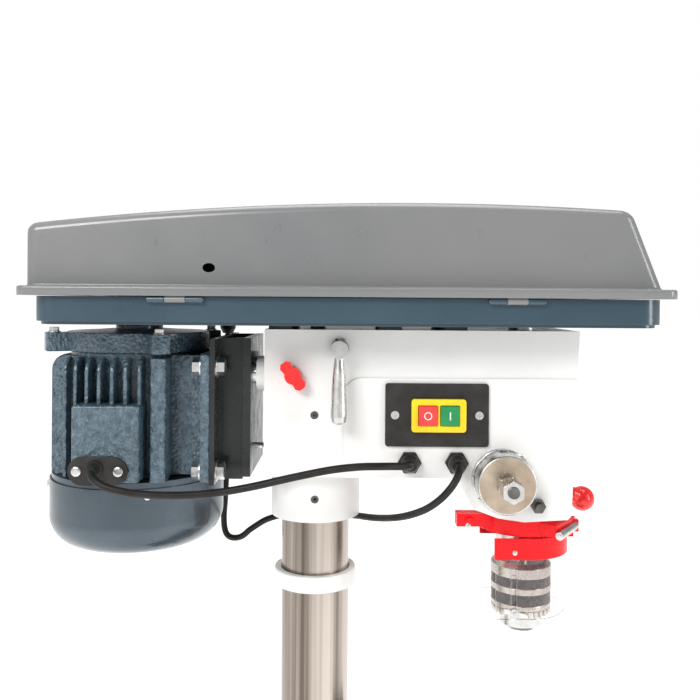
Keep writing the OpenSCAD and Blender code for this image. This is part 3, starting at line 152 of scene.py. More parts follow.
class Finish:
    """A paint, metal or plastic finish, with its patterns laid on from the piece's own coordinates."""

    def __init__(self, name, metallic=0.0, roughness=0.4, coat=0.0, coat_roughness=0.08):
        self.material = bpy.data.materials.new(name)
        self.material.use_nodes = True
        self.tree = self.material.node_tree
        self.shader = self.tree.nodes["Principled BSDF"]
        self.shader.inputs["Metallic"].default_value = metallic
        self.shader.inputs["Roughness"].default_value = roughness
        self.shader.inputs["Coat Weight"].default_value = coat
        self.shader.inputs["Coat Roughness"].default_value = coat_roughness
        self.coords = self.tree.nodes.new("ShaderNodeTexCoord")

    def noise(self, scale, detail=4.0, stretch=(1, 1, 1)):
        mapping = self.tree.nodes.new("ShaderNodeMapping")
        mapping.inputs["Scale"].default_value = stretch
        node = self.tree.nodes.new("ShaderNodeTexNoise")
        node.inputs["Scale"].default_value = scale
        node.inputs["Detail"].default_value = detail
        self.tree.links.new(self.coords.outputs["Object"], mapping.inputs["Vector"])
        self.tree.links.new(mapping.outputs["Vector"], node.inputs["Vector"])
        return node.outputs["Fac"]

    def cells(self, scale):
        node = self.tree.nodes.new("ShaderNodeTexVoronoi")
        node.inputs["Scale"].default_value = scale
        self.tree.links.new(self.coords.outputs["Object"], node.inputs["Vector"])
        return node.outputs["Distance"]

    def ramp(self, value, stops):
        node = self.tree.nodes.new("ShaderNodeValToRGB")
        while len(node.color_ramp.elements) < len(stops):
            node.color_ramp.elements.new(0.5)
        for element, (place, colour) in zip(node.color_ramp.elements, stops):
            element.position = place
            element.color = (*colour, 1)
        self.tree.links.new(value, node.inputs["Fac"])
        return node.outputs["Color"]

    def colour(self, value, low, high, start=0.3, end=0.7):
        tint = self.ramp(value, [(start, low), (end, high)])
        self.tree.links.new(tint, self.shader.inputs["Base Color"])

    def gloss(self, value, low, high):
        node = self.tree.nodes.new("ShaderNodeMapRange")
        node.inputs["From Min"].default_value = 0.3
        node.inputs["From Max"].default_value = 0.7
        node.inputs["To Min"].default_value = low
        node.inputs["To Max"].default_value = high
        self.tree.links.new(value, node.inputs["Value"])
        self.tree.links.new(node.outputs[0], self.shader.inputs["Roughness"])

    def bump(self, value, height, strength=1.0):
        node = self.tree.nodes.new("ShaderNodeBump")
        node.inputs["Distance"].default_value = height
        node.inputs["Strength"].default_value = strength
        self.tree.links.new(value, node.inputs["Height"])
        previous = self.shader.inputs["Normal"]
        if previous.is_linked:
            self.tree.links.new(previous.links[0].from_socket, node.inputs["Normal"])
        self.tree.links.new(node.outputs["Normal"], previous)


sheath = Finish("black_sheath", roughness=0.42)
sheath.shader.inputs["Specular IOR Level"].default_value = 0.3
sheath.colour(sheath.noise(60), (0.007, 0.006, 0.0055), (0.018, 0.016, 0.015))
sheath.gloss(sheath.noise(35), 0.34, 0.55)
sheath.bump(sheath.noise(900, 2), 0.00004)


def lead(name, node, route):
    """A round lead hung through a run of points, in place of the plain one."""
    points = [Vector(p) * MM for p in route]
    curve = bpy.data.curves.new(name, "CURVE")
    curve.dimensions = "3D"
    curve.bevel_depth = CORD_D / 2
    curve.bevel_resolution = 5
    curve.resolution_u = 8
    curve.use_fill_caps = True
    spline = curve.splines.new("BEZIER")
    spline.bezier_points.add(len(points) - 1)
    for i, (knot, p) in enumerate(zip(spline.bezier_points, points)):
        before = points[max(i - 1, 0)]
        after = points[min(i + 1, len(points) - 1)]
        way = (after - before).normalized()
        knot.co = p
        knot.handle_left = p - way * (p - before).length / 3
        knot.handle_right = p + way * (after - p).length / 3
    curve.materials.append(sheath.material)
    piece = bpy.data.objects.new(name, curve)
    scene.collection.objects.link(piece)
    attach(piece, "root")
    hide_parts(node)
    return piece


for name, node, route in (("motor_lead_sheath", "motor_lead", MOTOR_ROUTE),
                          ("interlock_lead_sheath", "interlock_lead", INTERLOCK_ROUTE)):
    cable = lead(name, node, route)

# ---------------------------------------------------------------------------------------------------
# Base and column socket. Grey-iron castings, sand-cast and sprayed in thick dark grey enamel, which
# lies slightly rough and rounds every edge; four zinc-plated cap screws hold the socket down.
# ---------------------------------------------------------------------------------------------------
def coated(node, radius, finish, fine=2, angle=28, without=()):
    """A copy of a cast or pressed part with its edges rounded by the moulding and the paint."""
    bm = bmesh.new()
    bm.from_mesh(frame["nodes"][node].data)
    bmesh.ops.remove_doubles(bm, verts=bm.verts, dist=2e-6)
    for low, high in without:
        inside = [v for v in bm.verts if all(a < c < b for a, c, b in zip(low, v.co, high))]
        bmesh.ops.delete(bm, geom=inside, context="VERTS")
    bmesh.ops.dissolve_limit(bm, angle_limit=math.radians(0.8), verts=bm.verts, edges=bm.edges)
    for face in bm.faces:
        face.smooth = True
    piece = new_mesh(node + "_finished", bm)
    piece.data.materials.append(finish.material)
    rounding = piece.modifiers.new("edge_rounding", "BEVEL")
    rounding.width = radius
    rounding.segments = fine
    rounding.profile = 0.5
    rounding.limit_method = "ANGLE"
    rounding.angle_limit = math.radians(angle)
    rounding.use_clamp_overlap = True
    shading = piece.modifiers.new("flat_faces_flat", "WEIGHTED_NORMAL")
    shading.keep_sharp = False
    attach(piece, body_of[node])
    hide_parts(node)
    return piece


def dress(finish, *nodes):
    """Gives a finish to parts that keep the shape they were machined to."""
    for node in nodes:
        for holder in frame["nodes"][node].material_slots:
            holder.material = finish.material


grey_enamel = Finish("grey_enamel", roughness=0.34, coat=0.4, coat_roughness=0.14)
grey_enamel.colour(grey_enamel.noise(12), (0.060, 0.074, 0.088), (0.088, 0.104, 0.120))
grey_enamel.gloss(grey_enamel.noise(40), 0.28, 0.44)
grey_enamel.bump(grey_enamel.noise(190, 3), 0.0004, 0.4)
grey_enamel.bump(grey_enamel.noise(34, 2), 0.0009, 0.3)

zinc_plate = Finish("zinc_plate", metallic=1.0, roughness=0.3)
zinc_plate.colour(zinc_plate.noise(90), (0.52, 0.53, 0.53), (0.74, 0.73, 0.70))
zinc_plate.gloss(zinc_plate.noise(140), 0.22, 0.42)
zinc_plate.bump(zinc_plate.noise(1200, 2), 0.00003, 0.5)

coated("base", 0.003, grey_enamel)
coated("column_flange", 0.002, grey_enamel)
dress(zinc_plate, "flange_bolts")

# ---------------------------------------------------------------------------------------------------
# Column, rack and rack ring. Drawn steel tube, ground bright all round so that fine cross lines show, with
# dark brown streaks along it that are painted reflection; a milled rack stands against it, under an enamelled
# cast ring.
# ---------------------------------------------------------------------------------------------------
ground_steel_painted_reflection = Finish("ground_steel_painted_reflection", metallic=1.0, roughness=0.2)
# Painted reflection: the dark brown streaks in the colour stand in for the dark bands reflected along the
# bright tube.
ground_steel_painted_reflection.colour(ground_steel_painted_reflection.noise(75, 3, stretch=(1, 1, 0.008)),
                    (0.13, 0.105, 0.088), (0.50, 0.44, 0.39), start=0.36, end=0.62)
ground_steel_painted_reflection.gloss(ground_steel_painted_reflection.noise(300, 4, stretch=(0.2, 0.2, 4)), 0.17, 0.24)
ground_steel_painted_reflection.bump(ground_steel_painted_reflection.noise(900, 2, stretch=(0.1, 0.1, 5)), 0.000006, 0.4)

oiled_steel = Finish("oiled_steel", metallic=1.0, roughness=0.38)
oiled_steel.colour(oiled_steel.noise(80, 5), (0.10, 0.098, 0.095), (0.22, 0.21, 0.20))
oiled_steel.gloss(oiled_steel.noise(120, 4), 0.28, 0.5)
oiled_steel.bump(oiled_steel.noise(700, 3), 0.00004, 0.6)

white_enamel = Finish("white_enamel", roughness=0.33, coat=0.35, coat_roughness=0.12)
white_enamel.colour(white_enamel.noise(14), (0.74, 0.735, 0.72), (0.81, 0.805, 0.79))
white_enamel.gloss(white_enamel.noise(40), 0.28, 0.42)
white_enamel.bump(white_enamel.noise(170, 3), 0.00025, 0.35)
white_enamel.bump(white_enamel.noise(30, 2), 0.0006, 0.25)

dress(ground_steel_painted_reflection, "column")
dress(oiled_steel, "rack")
coated("rack_ring", 0.0016, white_enamel)

# ---------------------------------------------------------------------------------------------------
# Head casting. One hollow iron casting in white enamel that carries the quill at the front, the motor
# slides at the back and clamps on the column through its collar; black grub screws lock it.
# ---------------------------------------------------------------------------------------------------
coated("head_casting", 0.0016, white_enamel)
dress(oiled_steel, "head_screws")

# ---------------------------------------------------------------------------------------------------
# Belt pan. A shallow tray pressed from sheet steel, in dark blue-grey gloss enamel, set on rubber pads
# on top of the head and screwed down through them.
# ---------------------------------------------------------------------------------------------------
slate_enamel = Finish("slate_enamel", roughness=0.3, coat=0.45, coat_roughness=0.14)
slate_enamel.colour(slate_enamel.noise(4, 3), (0.012, 0.038, 0.060), (0.034, 0.070, 0.098))
slate_enamel.gloss(slate_enamel.noise(26, 4), 0.26, 0.38)
slate_enamel.bump(slate_enamel.noise(150, 2), 0.00008, 0.35)
slate_enamel.bump(slate_enamel.noise(11, 2), 0.0012, 0.18)

black_rubber = Finish("black_rubber", roughness=0.6)
black_rubber.shader.inputs["Specular IOR Level"].default_value = 0.3
black_rubber.colour(black_rubber.noise(90), (0.010, 0.010, 0.010), (0.030, 0.030, 0.029))
black_rubber.gloss(black_rubber.noise(120), 0.5, 0.75)
black_rubber.bump(black_rubber.noise(900, 3), 0.00008, 0.6)

coated("belt_pan", 0.0022, slate_enamel, fine=3)
dress(black_rubber, "pan_pads")

# ---------------------------------------------------------------------------------------------------
# Switch. A moulded black plate held by two screws, a yellow bezel, and two push buttons: red with a
# ring for stop and green with a bar for start, the marks printed in white.
# ---------------------------------------------------------------------------------------------------
black_moulding = Finish("black_moulding", roughness=0.42)
black_moulding.shader.inputs["Specular IOR Level"].default_value = 0.3
black_moulding.colour(black_moulding.noise(60), (0.017, 0.015, 0.014), (0.036, 0.033, 0.031))
black_moulding.gloss(black_moulding.noise(90), 0.34, 0.52)
black_moulding.bump(black_moulding.cells(1400), 0.00006, 0.5)


def moulding(name, low, high, roughness=0.3):
    finish = Finish(name, roughness=roughness, coat=0.2)
    finish.colour(finish.noise(50), low, high)
    finish.gloss(finish.noise(110), roughness - 0.06, roughness + 0.1)
    finish.bump(finish.noise(900, 2), 0.00004, 0.5)
    return finish


yellow_moulding = moulding("yellow_moulding", (0.83, 0.54, 0.0), (0.93, 0.64, 0.005))
stop_red = moulding("stop_red", (0.66, 0.035, 0.03), (0.80, 0.055, 0.045), 0.24)
start_green = moulding("start_green", (0.0, 0.20, 0.05), (0.005, 0.28, 0.075), 0.24)
print_white = moulding("print_white", (0.82, 0.80, 0.78), (0.9, 0.88, 0.86), 0.4)

coated("switch_plate", 0.0009, black_moulding)
coated("switch_bezel", 0.0007, yellow_moulding)
dress(zinc_plate, "switch_screws")
coated("stop_button", 0.0007, stop_red, fine=3)
coated("start_button", 0.0007, start_green, fine=3)


def placed(name, bm, body, finish, smooth=False):
    """Makes a finished piece of a mesh already built in its place."""
    if smooth:
        for face in bm.faces:
            face.smooth = True
    piece = new_mesh(name, bm)
    piece.data.materials.append(finish.material)
    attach(piece, body)
    return piece


def centre_of(node):
    low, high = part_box(node)
    return (Vector(low) + Vector(high)) / 2, Vector(low), Vector(high)


def new_verts(made):
    """The points among what an operator has made."""
    return [v for v in made["geom"] if isinstance(v, bmesh.types.BMVert)]


MARK_STANDING = 0.00025
RING_MARK_R, RING_MARK_BORE = 0.0038, 0.78
BAR_MARK_W, BAR_MARK_H = 0.0011, 0.0078
middle, low, high = centre_of("stop_button")
bm = bmesh.new()
bmesh.ops.create_circle(bm, radius=RING_MARK_R, segments=40)
inner = new_verts(bmesh.ops.extrude_edge_only(bm, edges=list(bm.edges)))
bmesh.ops.scale(bm, vec=(RING_MARK_BORE, RING_MARK_BORE, 1), verts=inner)
wall = new_verts(bmesh.ops.extrude_face_region(bm, geom=list(bm.faces)))
bmesh.ops.translate(bm, vec=(0, 0, 2 * MARK_STANDING), verts=wall)
bmesh.ops.rotate(bm, cent=(0, 0, 0), matrix=Matrix.Rotation(math.radians(90), 3, "X"), verts=bm.verts)
bmesh.ops.translate(bm, vec=(middle.x, low.y + MARK_STANDING, middle.z), verts=bm.verts)
bmesh.ops.recalc_face_normals(bm, faces=bm.faces)
placed("stop_ring_mark", bm, body_of["stop_button"], print_white)
middle, low, high = centre_of("start_button")
bm = bmesh.new()
bmesh.ops.create_cube(bm, size=1)
bmesh.ops.scale(bm, vec=(BAR_MARK_W, 2 * MARK_STANDING, BAR_MARK_H), verts=bm.verts)
bmesh.ops.translate(bm, vec=(middle.x, low.y, middle.z), verts=bm.verts)
placed("start_bar_mark", bm, body_of["start_button"], print_white)

# ---------------------------------------------------------------------------------------------------
# Cable glands and gland plate. Hexagonal nylon glands screwed into the head and the pan, and a black
# moulded plate with a short nozzle on the motor's terminal box, all gripping the leads.
# ---------------------------------------------------------------------------------------------------
coated("cable_glands", 0.0006, black_moulding)


def round_bar(bm, start, end, radius, end_radius=None, sides=28):
    """A round bar or taper between two points."""
    start, end = Vector(start), Vector(end)
    way = end - start
    place = Matrix.Translation((start + end) / 2) @ way.to_track_quat("Z", "Y").to_matrix().to_4x4()
    return bmesh.ops.create_cone(bm, cap_ends=True, segments=sides, radius1=radius,
                                 radius2=radius if end_radius is None else end_radius,
                                 depth=way.length, matrix=place)["verts"]


def crisp(piece, radius=0.0003, fine=2):
    """Breaks the edges of a machined piece and keeps its flat faces flat."""
    rounding = piece.modifiers.new("broken_edges", "BEVEL")
    rounding.width = radius
    rounding.segments = fine
    rounding.limit_method = "ANGLE"
    rounding.angle_limit = math.radians(40)
    shading = piece.modifiers.new("flat_faces_flat", "WEIGHTED_NORMAL")
    shading.keep_sharp = False
    return piece


PLATE_HALF = 0.0135
PLATE_REACH = 0.0145
PLATE_THICK = 0.003
PLATE_SCREW_OUT = 0.0195
BOX_FACE = -0.095
PLATE_X, PLATE_Z = -0.199, 0.751
NOZZLE_X, NOZZLE_Z = -0.201, 0.754
bm = bmesh.new()
bmesh.ops.create_circle(bm, cap_ends=True, radius=PLATE_HALF, segments=64)
bmesh.ops.bisect_plane(bm, geom=list(bm.verts) + list(bm.edges) + list(bm.faces), plane_co=(0, 0, 0),
                       plane_no=(1, 0, 0))
bmesh.ops.translate(bm, vec=(PLATE_REACH, 0, 0), verts=[v for v in bm.verts if v.co.x > 1e-6])
bmesh.ops.translate(bm, vec=(-PLATE_REACH, 0, 0), verts=[v for v in bm.verts if v.co.x < -1e-6])
up = new_verts(bmesh.ops.extrude_face_region(bm, geom=list(bm.faces)))
bmesh.ops.translate(bm, vec=(0, 0, PLATE_THICK), verts=up)
bmesh.ops.rotate(bm, cent=(0, 0, 0), matrix=Matrix.Rotation(math.radians(90), 3, "X"), verts=bm.verts)
bmesh.ops.translate(bm, vec=(PLATE_X, BOX_FACE, PLATE_Z), verts=bm.verts)
bmesh.ops.recalc_face_normals(bm, faces=bm.faces)
plate = crisp(placed("terminal_plate", bm, "motor", black_moulding, smooth=True), 0.0008)
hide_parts("motor_gland_plate")

bm = bmesh.new()
round_bar(bm, (NOZZLE_X, BOX_FACE - 0.002, NOZZLE_Z), (NOZZLE_X, BOX_FACE - 0.0065, NOZZLE_Z - 0.0003),
          0.0080, 0.0070)
round_bar(bm, (NOZZLE_X, BOX_FACE - 0.006, NOZZLE_Z - 0.0003),
          (NOZZLE_X + 0.0008, BOX_FACE - 0.019, NOZZLE_Z - 0.0012), 0.0062, 0.0044)
crisp(placed("terminal_grommet", bm, "motor", black_rubber, smooth=True), 0.0008)

bm = bmesh.new()
for side in (-1, 1):
    x = PLATE_X + side * PLATE_SCREW_OUT
    round_bar(bm, (x, BOX_FACE - 0.0025, PLATE_Z), (x, BOX_FACE - 0.0045, PLATE_Z), 0.0050, 0.0046)
    round_bar(bm, (x, BOX_FACE - 0.0045, PLATE_Z), (x, BOX_FACE - 0.0056, PLATE_Z), 0.0046, 0.0026)
crisp(placed("terminal_screws", bm, "motor", zinc_plate, smooth=True), 0.0003)

# ---------------------------------------------------------------------------------------------------
# Spring cap. A turned steel drum over the quill's return spring, its face rubbed to a warm bronze
# cast, in rings round the shaft, with two thin plated nuts on the shaft's end.
# ---------------------------------------------------------------------------------------------------
middle, low, high = centre_of("spring_cap")
rubbed_steel = Finish("rubbed_steel", metallic=1.0, roughness=0.26)
turning = rubbed_steel.tree.nodes.new("ShaderNodeMapping")
turning.inputs["Location"].default_value = (-middle.x, 0, -middle.z)
rings = rubbed_steel.tree.nodes.new("ShaderNodeTexWave")
rings.wave_type = "RINGS"
rings.rings_direction = "Y"
rings.inputs["Scale"].default_value = 260
rings.inputs["Distortion"].default_value = 1.5
rings.inputs["Detail"].default_value = 3
rubbed_steel.tree.links.new(rubbed_steel.coords.outputs["Object"], turning.inputs["Vector"])
rubbed_steel.tree.links.new(turning.outputs["Vector"], rings.inputs["Vector"])
rubbed_steel.colour(rubbed_steel.noise(45, 5), (0.40, 0.31, 0.23), (0.62, 0.52, 0.42))
rubbed_steel.gloss(rings.outputs["Fac"], 0.2, 0.34)
rubbed_steel.bump(rings.outputs["Fac"], 0.00003, 0.5)
CAP_R = 0.028
HEAD_FACE = -0.0665
CAP_FACE = -0.0965
NOTCHES = 8
cap_x, cap_z = 0.1828, 0.740
bm = bmesh.new()
outline = [(CAP_R + 0.0014, HEAD_FACE), (CAP_R + 0.0014, HEAD_FACE - 0.0045), (CAP_R, HEAD_FACE - 0.0052),
           (CAP_R, CAP_FACE + 0.0015), (CAP_R - 0.0008, CAP_FACE + 0.0003), (CAP_R - 0.0016, CAP_FACE)]
corners = [bm.verts.new((cap_x + r, y, cap_z)) for r, y in outline]
edges = [bm.edges.new(pair) for pair in zip(corners, corners[1:])]
bmesh.ops.spin(bm, geom=corners + edges, cent=(cap_x, 0, cap_z), axis=(0, 1, 0), angle=math.tau, steps=96,
               use_merge=True, use_duplicate=False)
bmesh.ops.remove_doubles(bm, verts=bm.verts, dist=1e-6)
bmesh.ops.holes_fill(bm, edges=[e for e in bm.edges if e.is_boundary])
for i in range(NOTCHES):
    notch = bmesh.ops.create_cube(bm, size=1)["verts"]
    bmesh.ops.scale(bm, vec=(0.0018, 0.0048, 0.0085), verts=notch)
    bmesh.ops.translate(bm, vec=(CAP_R + 0.0010, HEAD_FACE - 0.0075, 0), verts=notch)
    bmesh.ops.rotate(bm, cent=(0, 0, 0), matrix=Matrix.Rotation(math.tau * i / NOTCHES, 3, "Y"),
                     verts=notch)
    bmesh.ops.translate(bm, vec=(cap_x, 0, cap_z), verts=notch)
bmesh.ops.recalc_face_normals(bm, faces=bm.faces)
drum = crisp(placed("spring_drum", bm, "root", zinc_plate, smooth=True), 0.0004)
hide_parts("spring_cap")

bm = bmesh.new()
round_bar(bm, (cap_x, CAP_FACE + 0.0004, cap_z), (cap_x, CAP_FACE - 0.0002, cap_z), CAP_R - 0.0018, sides=96)
crisp(placed("spring_cap_face", bm, "root", rubbed_steel, smooth=True), 0.0002)

NUT_R = 0.0108
NUTS_END = -0.1262
bm = bmesh.new()
for start, end, turned in ((CAP_FACE - 0.0002, -0.1045, 12), (-0.1049, NUTS_END + 0.002, 0)):
    nut = round_bar(bm, (cap_x, start, cap_z), (cap_x, end, cap_z), NUT_R, sides=6)
    bmesh.ops.rotate(bm, cent=(cap_x, 0, cap_z), matrix=Matrix.Rotation(math.radians(turned), 3, "Y"),
                     verts=nut)
crisp(placed("spring_nuts", bm, "root", zinc_plate, smooth=True), 0.0007)
bm = bmesh.new()
round_bar(bm, (cap_x, NUTS_END + 0.003, cap_z), (cap_x, NUTS_END, cap_z), 0.0058, 0.0052)
round_bar(bm, (cap_x, NUTS_END, cap_z), (cap_x, NUTS_END - 0.0003, cap_z), 0.0034, sides=6)
crisp(placed("feed_shaft_end", bm, "feed", oiled_steel, smooth=True), 0.0003)
dress(oiled_steel, "return_spring")

# ---------------------------------------------------------------------------------------------------
# Belt-tension lever and slide lock. A plated steel lever, turned with a swelling waist, hangs from its
# cross shaft; a red moulded T-knob beside it locks the motor slides.
# ---------------------------------------------------------------------------------------------------
red_moulding = moulding("red_moulding", (0.80, 0.010, 0.008), (0.92, 0.016, 0.014), 0.22)
coated("tension_lever", 0.0006, zinc_plate)
coated("slide_lock_knob", 0.0008, red_moulding)

RING_R = 0.0078
RING_WIRE = 0.0011
low, high = (Vector(corner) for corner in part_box("tension_lever"))
pivot = Vector(((low.x + high.x) / 2, 0, high.z - 0.0085))
ring_y = -0.0665 - RING_WIRE
bm = bmesh.new()
wire = bmesh.ops.create_circle(bm, cap_ends=True, radius=RING_WIRE, segments=12)["verts"]
bmesh.ops.translate(bm, vec=(RING_R, 0, 0), verts=wire)
RING_GAP = 22
bmesh.ops.rotate(bm, cent=(0, 0, 0), matrix=Matrix.Rotation(math.radians(RING_GAP - 90), 3, "Y"), verts=wire)
bmesh.ops.spin(bm, geom=list(bm.verts) + list(bm.edges) + list(bm.faces), cent=(0, 0, 0), axis=(0, 1, 0),
               angle=math.radians(360 - 2 * RING_GAP), steps=48, use_merge=False, use_duplicate=False)
for side in (-1, 1):
    way = Vector((side * math.sin(math.radians(RING_GAP)), 0, math.cos(math.radians(RING_GAP))))
    round_bar(bm, way * (RING_R - 0.001), way * (RING_R + 0.0024), 0.0012, sides=12)
bmesh.ops.translate(bm, vec=(pivot.x, ring_y, pivot.z), verts=bm.verts)
bmesh.ops.recalc_face_normals(bm, faces=bm.faces)
crisp(placed("lever_circlip", bm, "root", oiled_steel, smooth=True), 0.0002)

# ---------------------------------------------------------------------------------------------------
# Motor bracket and slides. A folded steel channel in black enamel, carried on two ground bars that
# slide in the head; the motor's feet are bolted to it with plated bolts and nuts.
# ---------------------------------------------------------------------------------------------------
black_enamel = Finish("black_enamel", roughness=0.28, coat=0.2)
black_enamel.shader.inputs["Specular IOR Level"].default_value = 0.3
black_enamel.colour(black_enamel.noise(30), (0.012, 0.014, 0.015), (0.026, 0.029, 0.030))
black_enamel.gloss(black_enamel.noise(60), 0.22, 0.38)
black_enamel.bump(black_enamel.noise(160, 2), 0.00012, 0.3)
coated("motor_bracket", 0.0012, black_enamel)

bright_steel = Finish("bright_steel", metallic=1.0, roughness=0.2)
bright_steel.colour(bright_steel.noise(70, 5), (0.55, 0.55, 0.54), (0.72, 0.715, 0.70))
bright_steel.gloss(bright_steel.noise(220, 3, stretch=(1, 1, 5)), 0.16, 0.32)
bright_steel.bump(bright_steel.noise(500, 2, stretch=(1, 1, 8)), 0.00002, 0.5)

dress(bright_steel, "slide_bars")
TIE_BOLT_SPACE = ((-0.270, -0.075, 0.820), (-0.119, 0.075, 0.900))
coated("motor_bolts", 0.0005, zinc_plate, without=(TIE_BOLT_SPACE,))

# ---------------------------------------------------------------------------------------------------
# Motor frame and end shield. Ribbed iron castings for a foot-mounted motor, sprayed with blue hammer
# finish over the raw sand-cast skin, so every face is pebbled and the highlights break up.
# ---------------------------------------------------------------------------------------------------
hammer_blue = Finish("hammer_blue", roughness=0.36, coat=0.5, coat_roughness=0.16)
hammer_blue.colour(hammer_blue.noise(160, 3), (0.026, 0.058, 0.082), (0.095, 0.150, 0.192))
hammer_blue.gloss(hammer_blue.noise(300, 3), 0.24, 0.42)
hammer_blue.bump(hammer_blue.cells(300), 0.0018, 1.0)
hammer_blue.bump(hammer_blue.noise(500, 3), 0.0009, 0.7)

frame_low, frame_high = (Vector(corner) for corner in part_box("motor_frame"))
axis_x = centre_of("motor_rotor")[0].x
body_low, body_top = frame_low.z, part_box("motor_end_shield")[0][2]
CORE_R = 0.068
FIN_R = 0.086
FIN_PITCH = 0.0127
FIN_THICK = 0.0034
FIN_DROOP = 0.015
FIN_SHY_LOW, FIN_SHY_TOP = 0.002, 0.004
EAR_X = (0.0315, 0.0465)
EAR_Y = (0.050, 0.0835)
WEB_Y = (0.046, 0.0545)
FOOT_THICK = 0.009
FOOT_Y = (-0.0825, 0.082)
BOX_X = (-0.039, 0.0245)
BOX_H = 0.075


def block(bm, low, high):
    """A rectangular block between two corners."""
    low, high = Vector(low), Vector(high)
    made = bmesh.ops.create_cube(bm, size=1)["verts"]
    bmesh.ops.scale(bm, vec=high - low, verts=made)
    bmesh.ops.translate(bm, vec=(low + high) / 2, verts=made)
    return made


def rounded(bm, verts, chosen, radius, fine=4):
    """Rounds the chosen edges of a block."""
    edges = []
    for edge in (e for v in verts for e in v.link_edges):
        if chosen(edge) and edge not in edges:
            edges.append(edge)
    bmesh.ops.bevel(bm, geom=edges, offset=radius, offset_type="OFFSET", segments=fine, profile=0.5,
                    affect="EDGES", material=-1, clamp_overlap=True)


def runs(way, least):
    """Picks the edges that run along X, Y or Z (0, 1 or 2) for more than a length."""
    return lambda e: abs(e.verts[0].co[way] - e.verts[1].co[way]) > least


def fin(bm, along, offset, reach, near):
    """One cooling fin through the core, its top corners curving in to the end shield."""
    thin = Vector((FIN_THICK, 0, 0)) if along == "Y" else Vector((0, FIN_THICK, 0))
    if along == "Y":
        low, high = (axis_x + offset, -reach, 0), (axis_x + offset, near, 0)
    else:
        low, high = (axis_x - reach, offset, 0), (axis_x + near, offset, 0)
    plate = block(bm, Vector(low) - thin / 2 + Vector((0, 0, body_low + FIN_SHY_LOW)),
                  Vector(high) + thin / 2 + Vector((0, 0, body_top - FIN_SHY_TOP)))
    top = max(v.co.z for v in plate)
    way = 0 if along == "Y" else 1
    rounded(bm, plate, lambda e: all(abs(v.co.z - top) < 1e-5 for v in e.verts)
            and abs(e.verts[0].co[way] - e.verts[1].co[way]) > FIN_THICK / 2, FIN_DROOP, 6)


bm = bmesh.new()
round_bar(bm, (axis_x, 0, body_low), (axis_x, 0, body_top), CORE_R, sides=96)
for i in range(-4, 3):
    offset = i * FIN_PITCH - 0.004
    reach = math.sqrt(FIN_R ** 2 - offset ** 2)
    fin(bm, "Y", offset, reach, reach)
for i in range(-4, 5):
    offset = i * FIN_PITCH
    fin(bm, "X", offset, math.sqrt(FIN_R ** 2 - offset ** 2), 0)
for side in (-1, 1):
    near, far = sorted(side * y for y in EAR_Y)
    ear = block(bm, (axis_x + EAR_X[0], near, body_low), (axis_x + EAR_X[1], far, body_top - FIN_SHY_TOP))
    rounded(bm, ear, runs(2, 0.01), 0.003, 3)
    near, far = sorted(side * y for y in WEB_Y)
    block(bm, (axis_x + 0.036, near, body_low + 0.002), (frame_high.x - 0.004, far, body_top - 0.002))
foot = block(bm, (frame_high.x - FOOT_THICK, FOOT_Y[0], frame_low.z), (frame_high.x, FOOT_Y[1], frame_high.z))
rounded(bm, foot, runs(0, 0.004), 0.004, 3)
terminal_box = block(bm, (axis_x + BOX_X[0], BOX_FACE, body_low + 0.002),
                     (axis_x + BOX_X[1], BOX_FACE + 0.040, body_low + BOX_H))
rounded(bm, terminal_box, lambda e: max(v.co.y for v in e.verts) < BOX_FACE + 0.005 or runs(1, 0.01)(e),
        0.0028, 3)
casting = crisp(placed("motor_casting", bm, "motor", hammer_blue, smooth=True), 0.0009)
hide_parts("motor_frame")

RIM_H = 0.0195
LUG_H = 0.019
LUG_HALF = 0.0095
LUG_ROOT = 0.030
BOLT_PLACES = [(0.039, -0.0755), (-0.0755, -0.039), (-0.039, 0.0755), (0.0680, 0.0420)]
shield_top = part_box("motor_end_shield")[1].z
bm = bmesh.new()
round_bar(bm, (axis_x, 0, body_top), (axis_x, 0, body_top + RIM_H), CORE_R + 0.0045, sides=96)
round_bar(bm, (axis_x, 0, body_top + RIM_H), (axis_x, 0, shield_top - 0.004), CORE_R - 0.006, 0.030, sides=96)
round_bar(bm, (axis_x, 0, body_top), (axis_x, 0, shield_top), 0.024, sides=64)
for x, y in BOLT_PLACES:
    lug = block(bm, (CORE_R - LUG_ROOT, -LUG_HALF, body_top),
                (Vector((x, y)).length + 0.0085, LUG_HALF, body_top + LUG_H))
    rounded(bm, lug, runs(2, 0.01), 0.003, 3)
    turned = [v for v in bm.verts if CORE_R - LUG_ROOT - 0.001 < v.co.x < 0.095
              and abs(v.co.y) < LUG_HALF + 0.0001]
    bmesh.ops.rotate(bm, cent=(0, 0, 0), matrix=Matrix.Rotation(math.atan2(y, x), 3, "Z"), verts=turned)
    bmesh.ops.translate(bm, vec=(axis_x, 0, 0), verts=turned)
EAR_TOP = body_top + LUG_H
heads = bmesh.new()
for x, y in BOLT_PLACES:
    round_bar(heads, (axis_x + x, y, EAR_TOP - 0.001), (axis_x + x, y, EAR_TOP + 0.0012), 0.0060)
    round_bar(heads, (axis_x + x, y, EAR_TOP + 0.0012), (axis_x + x, y, EAR_TOP + 0.0052), 0.0050, sides=6)
crisp(placed("tie_bolt_heads", heads, "motor", zinc_plate, smooth=True), 0.0005)
end = crisp(placed("end_shield_casting", bm, "motor", hammer_blue, smooth=True), 0.0012)
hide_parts("motor_end_shield")

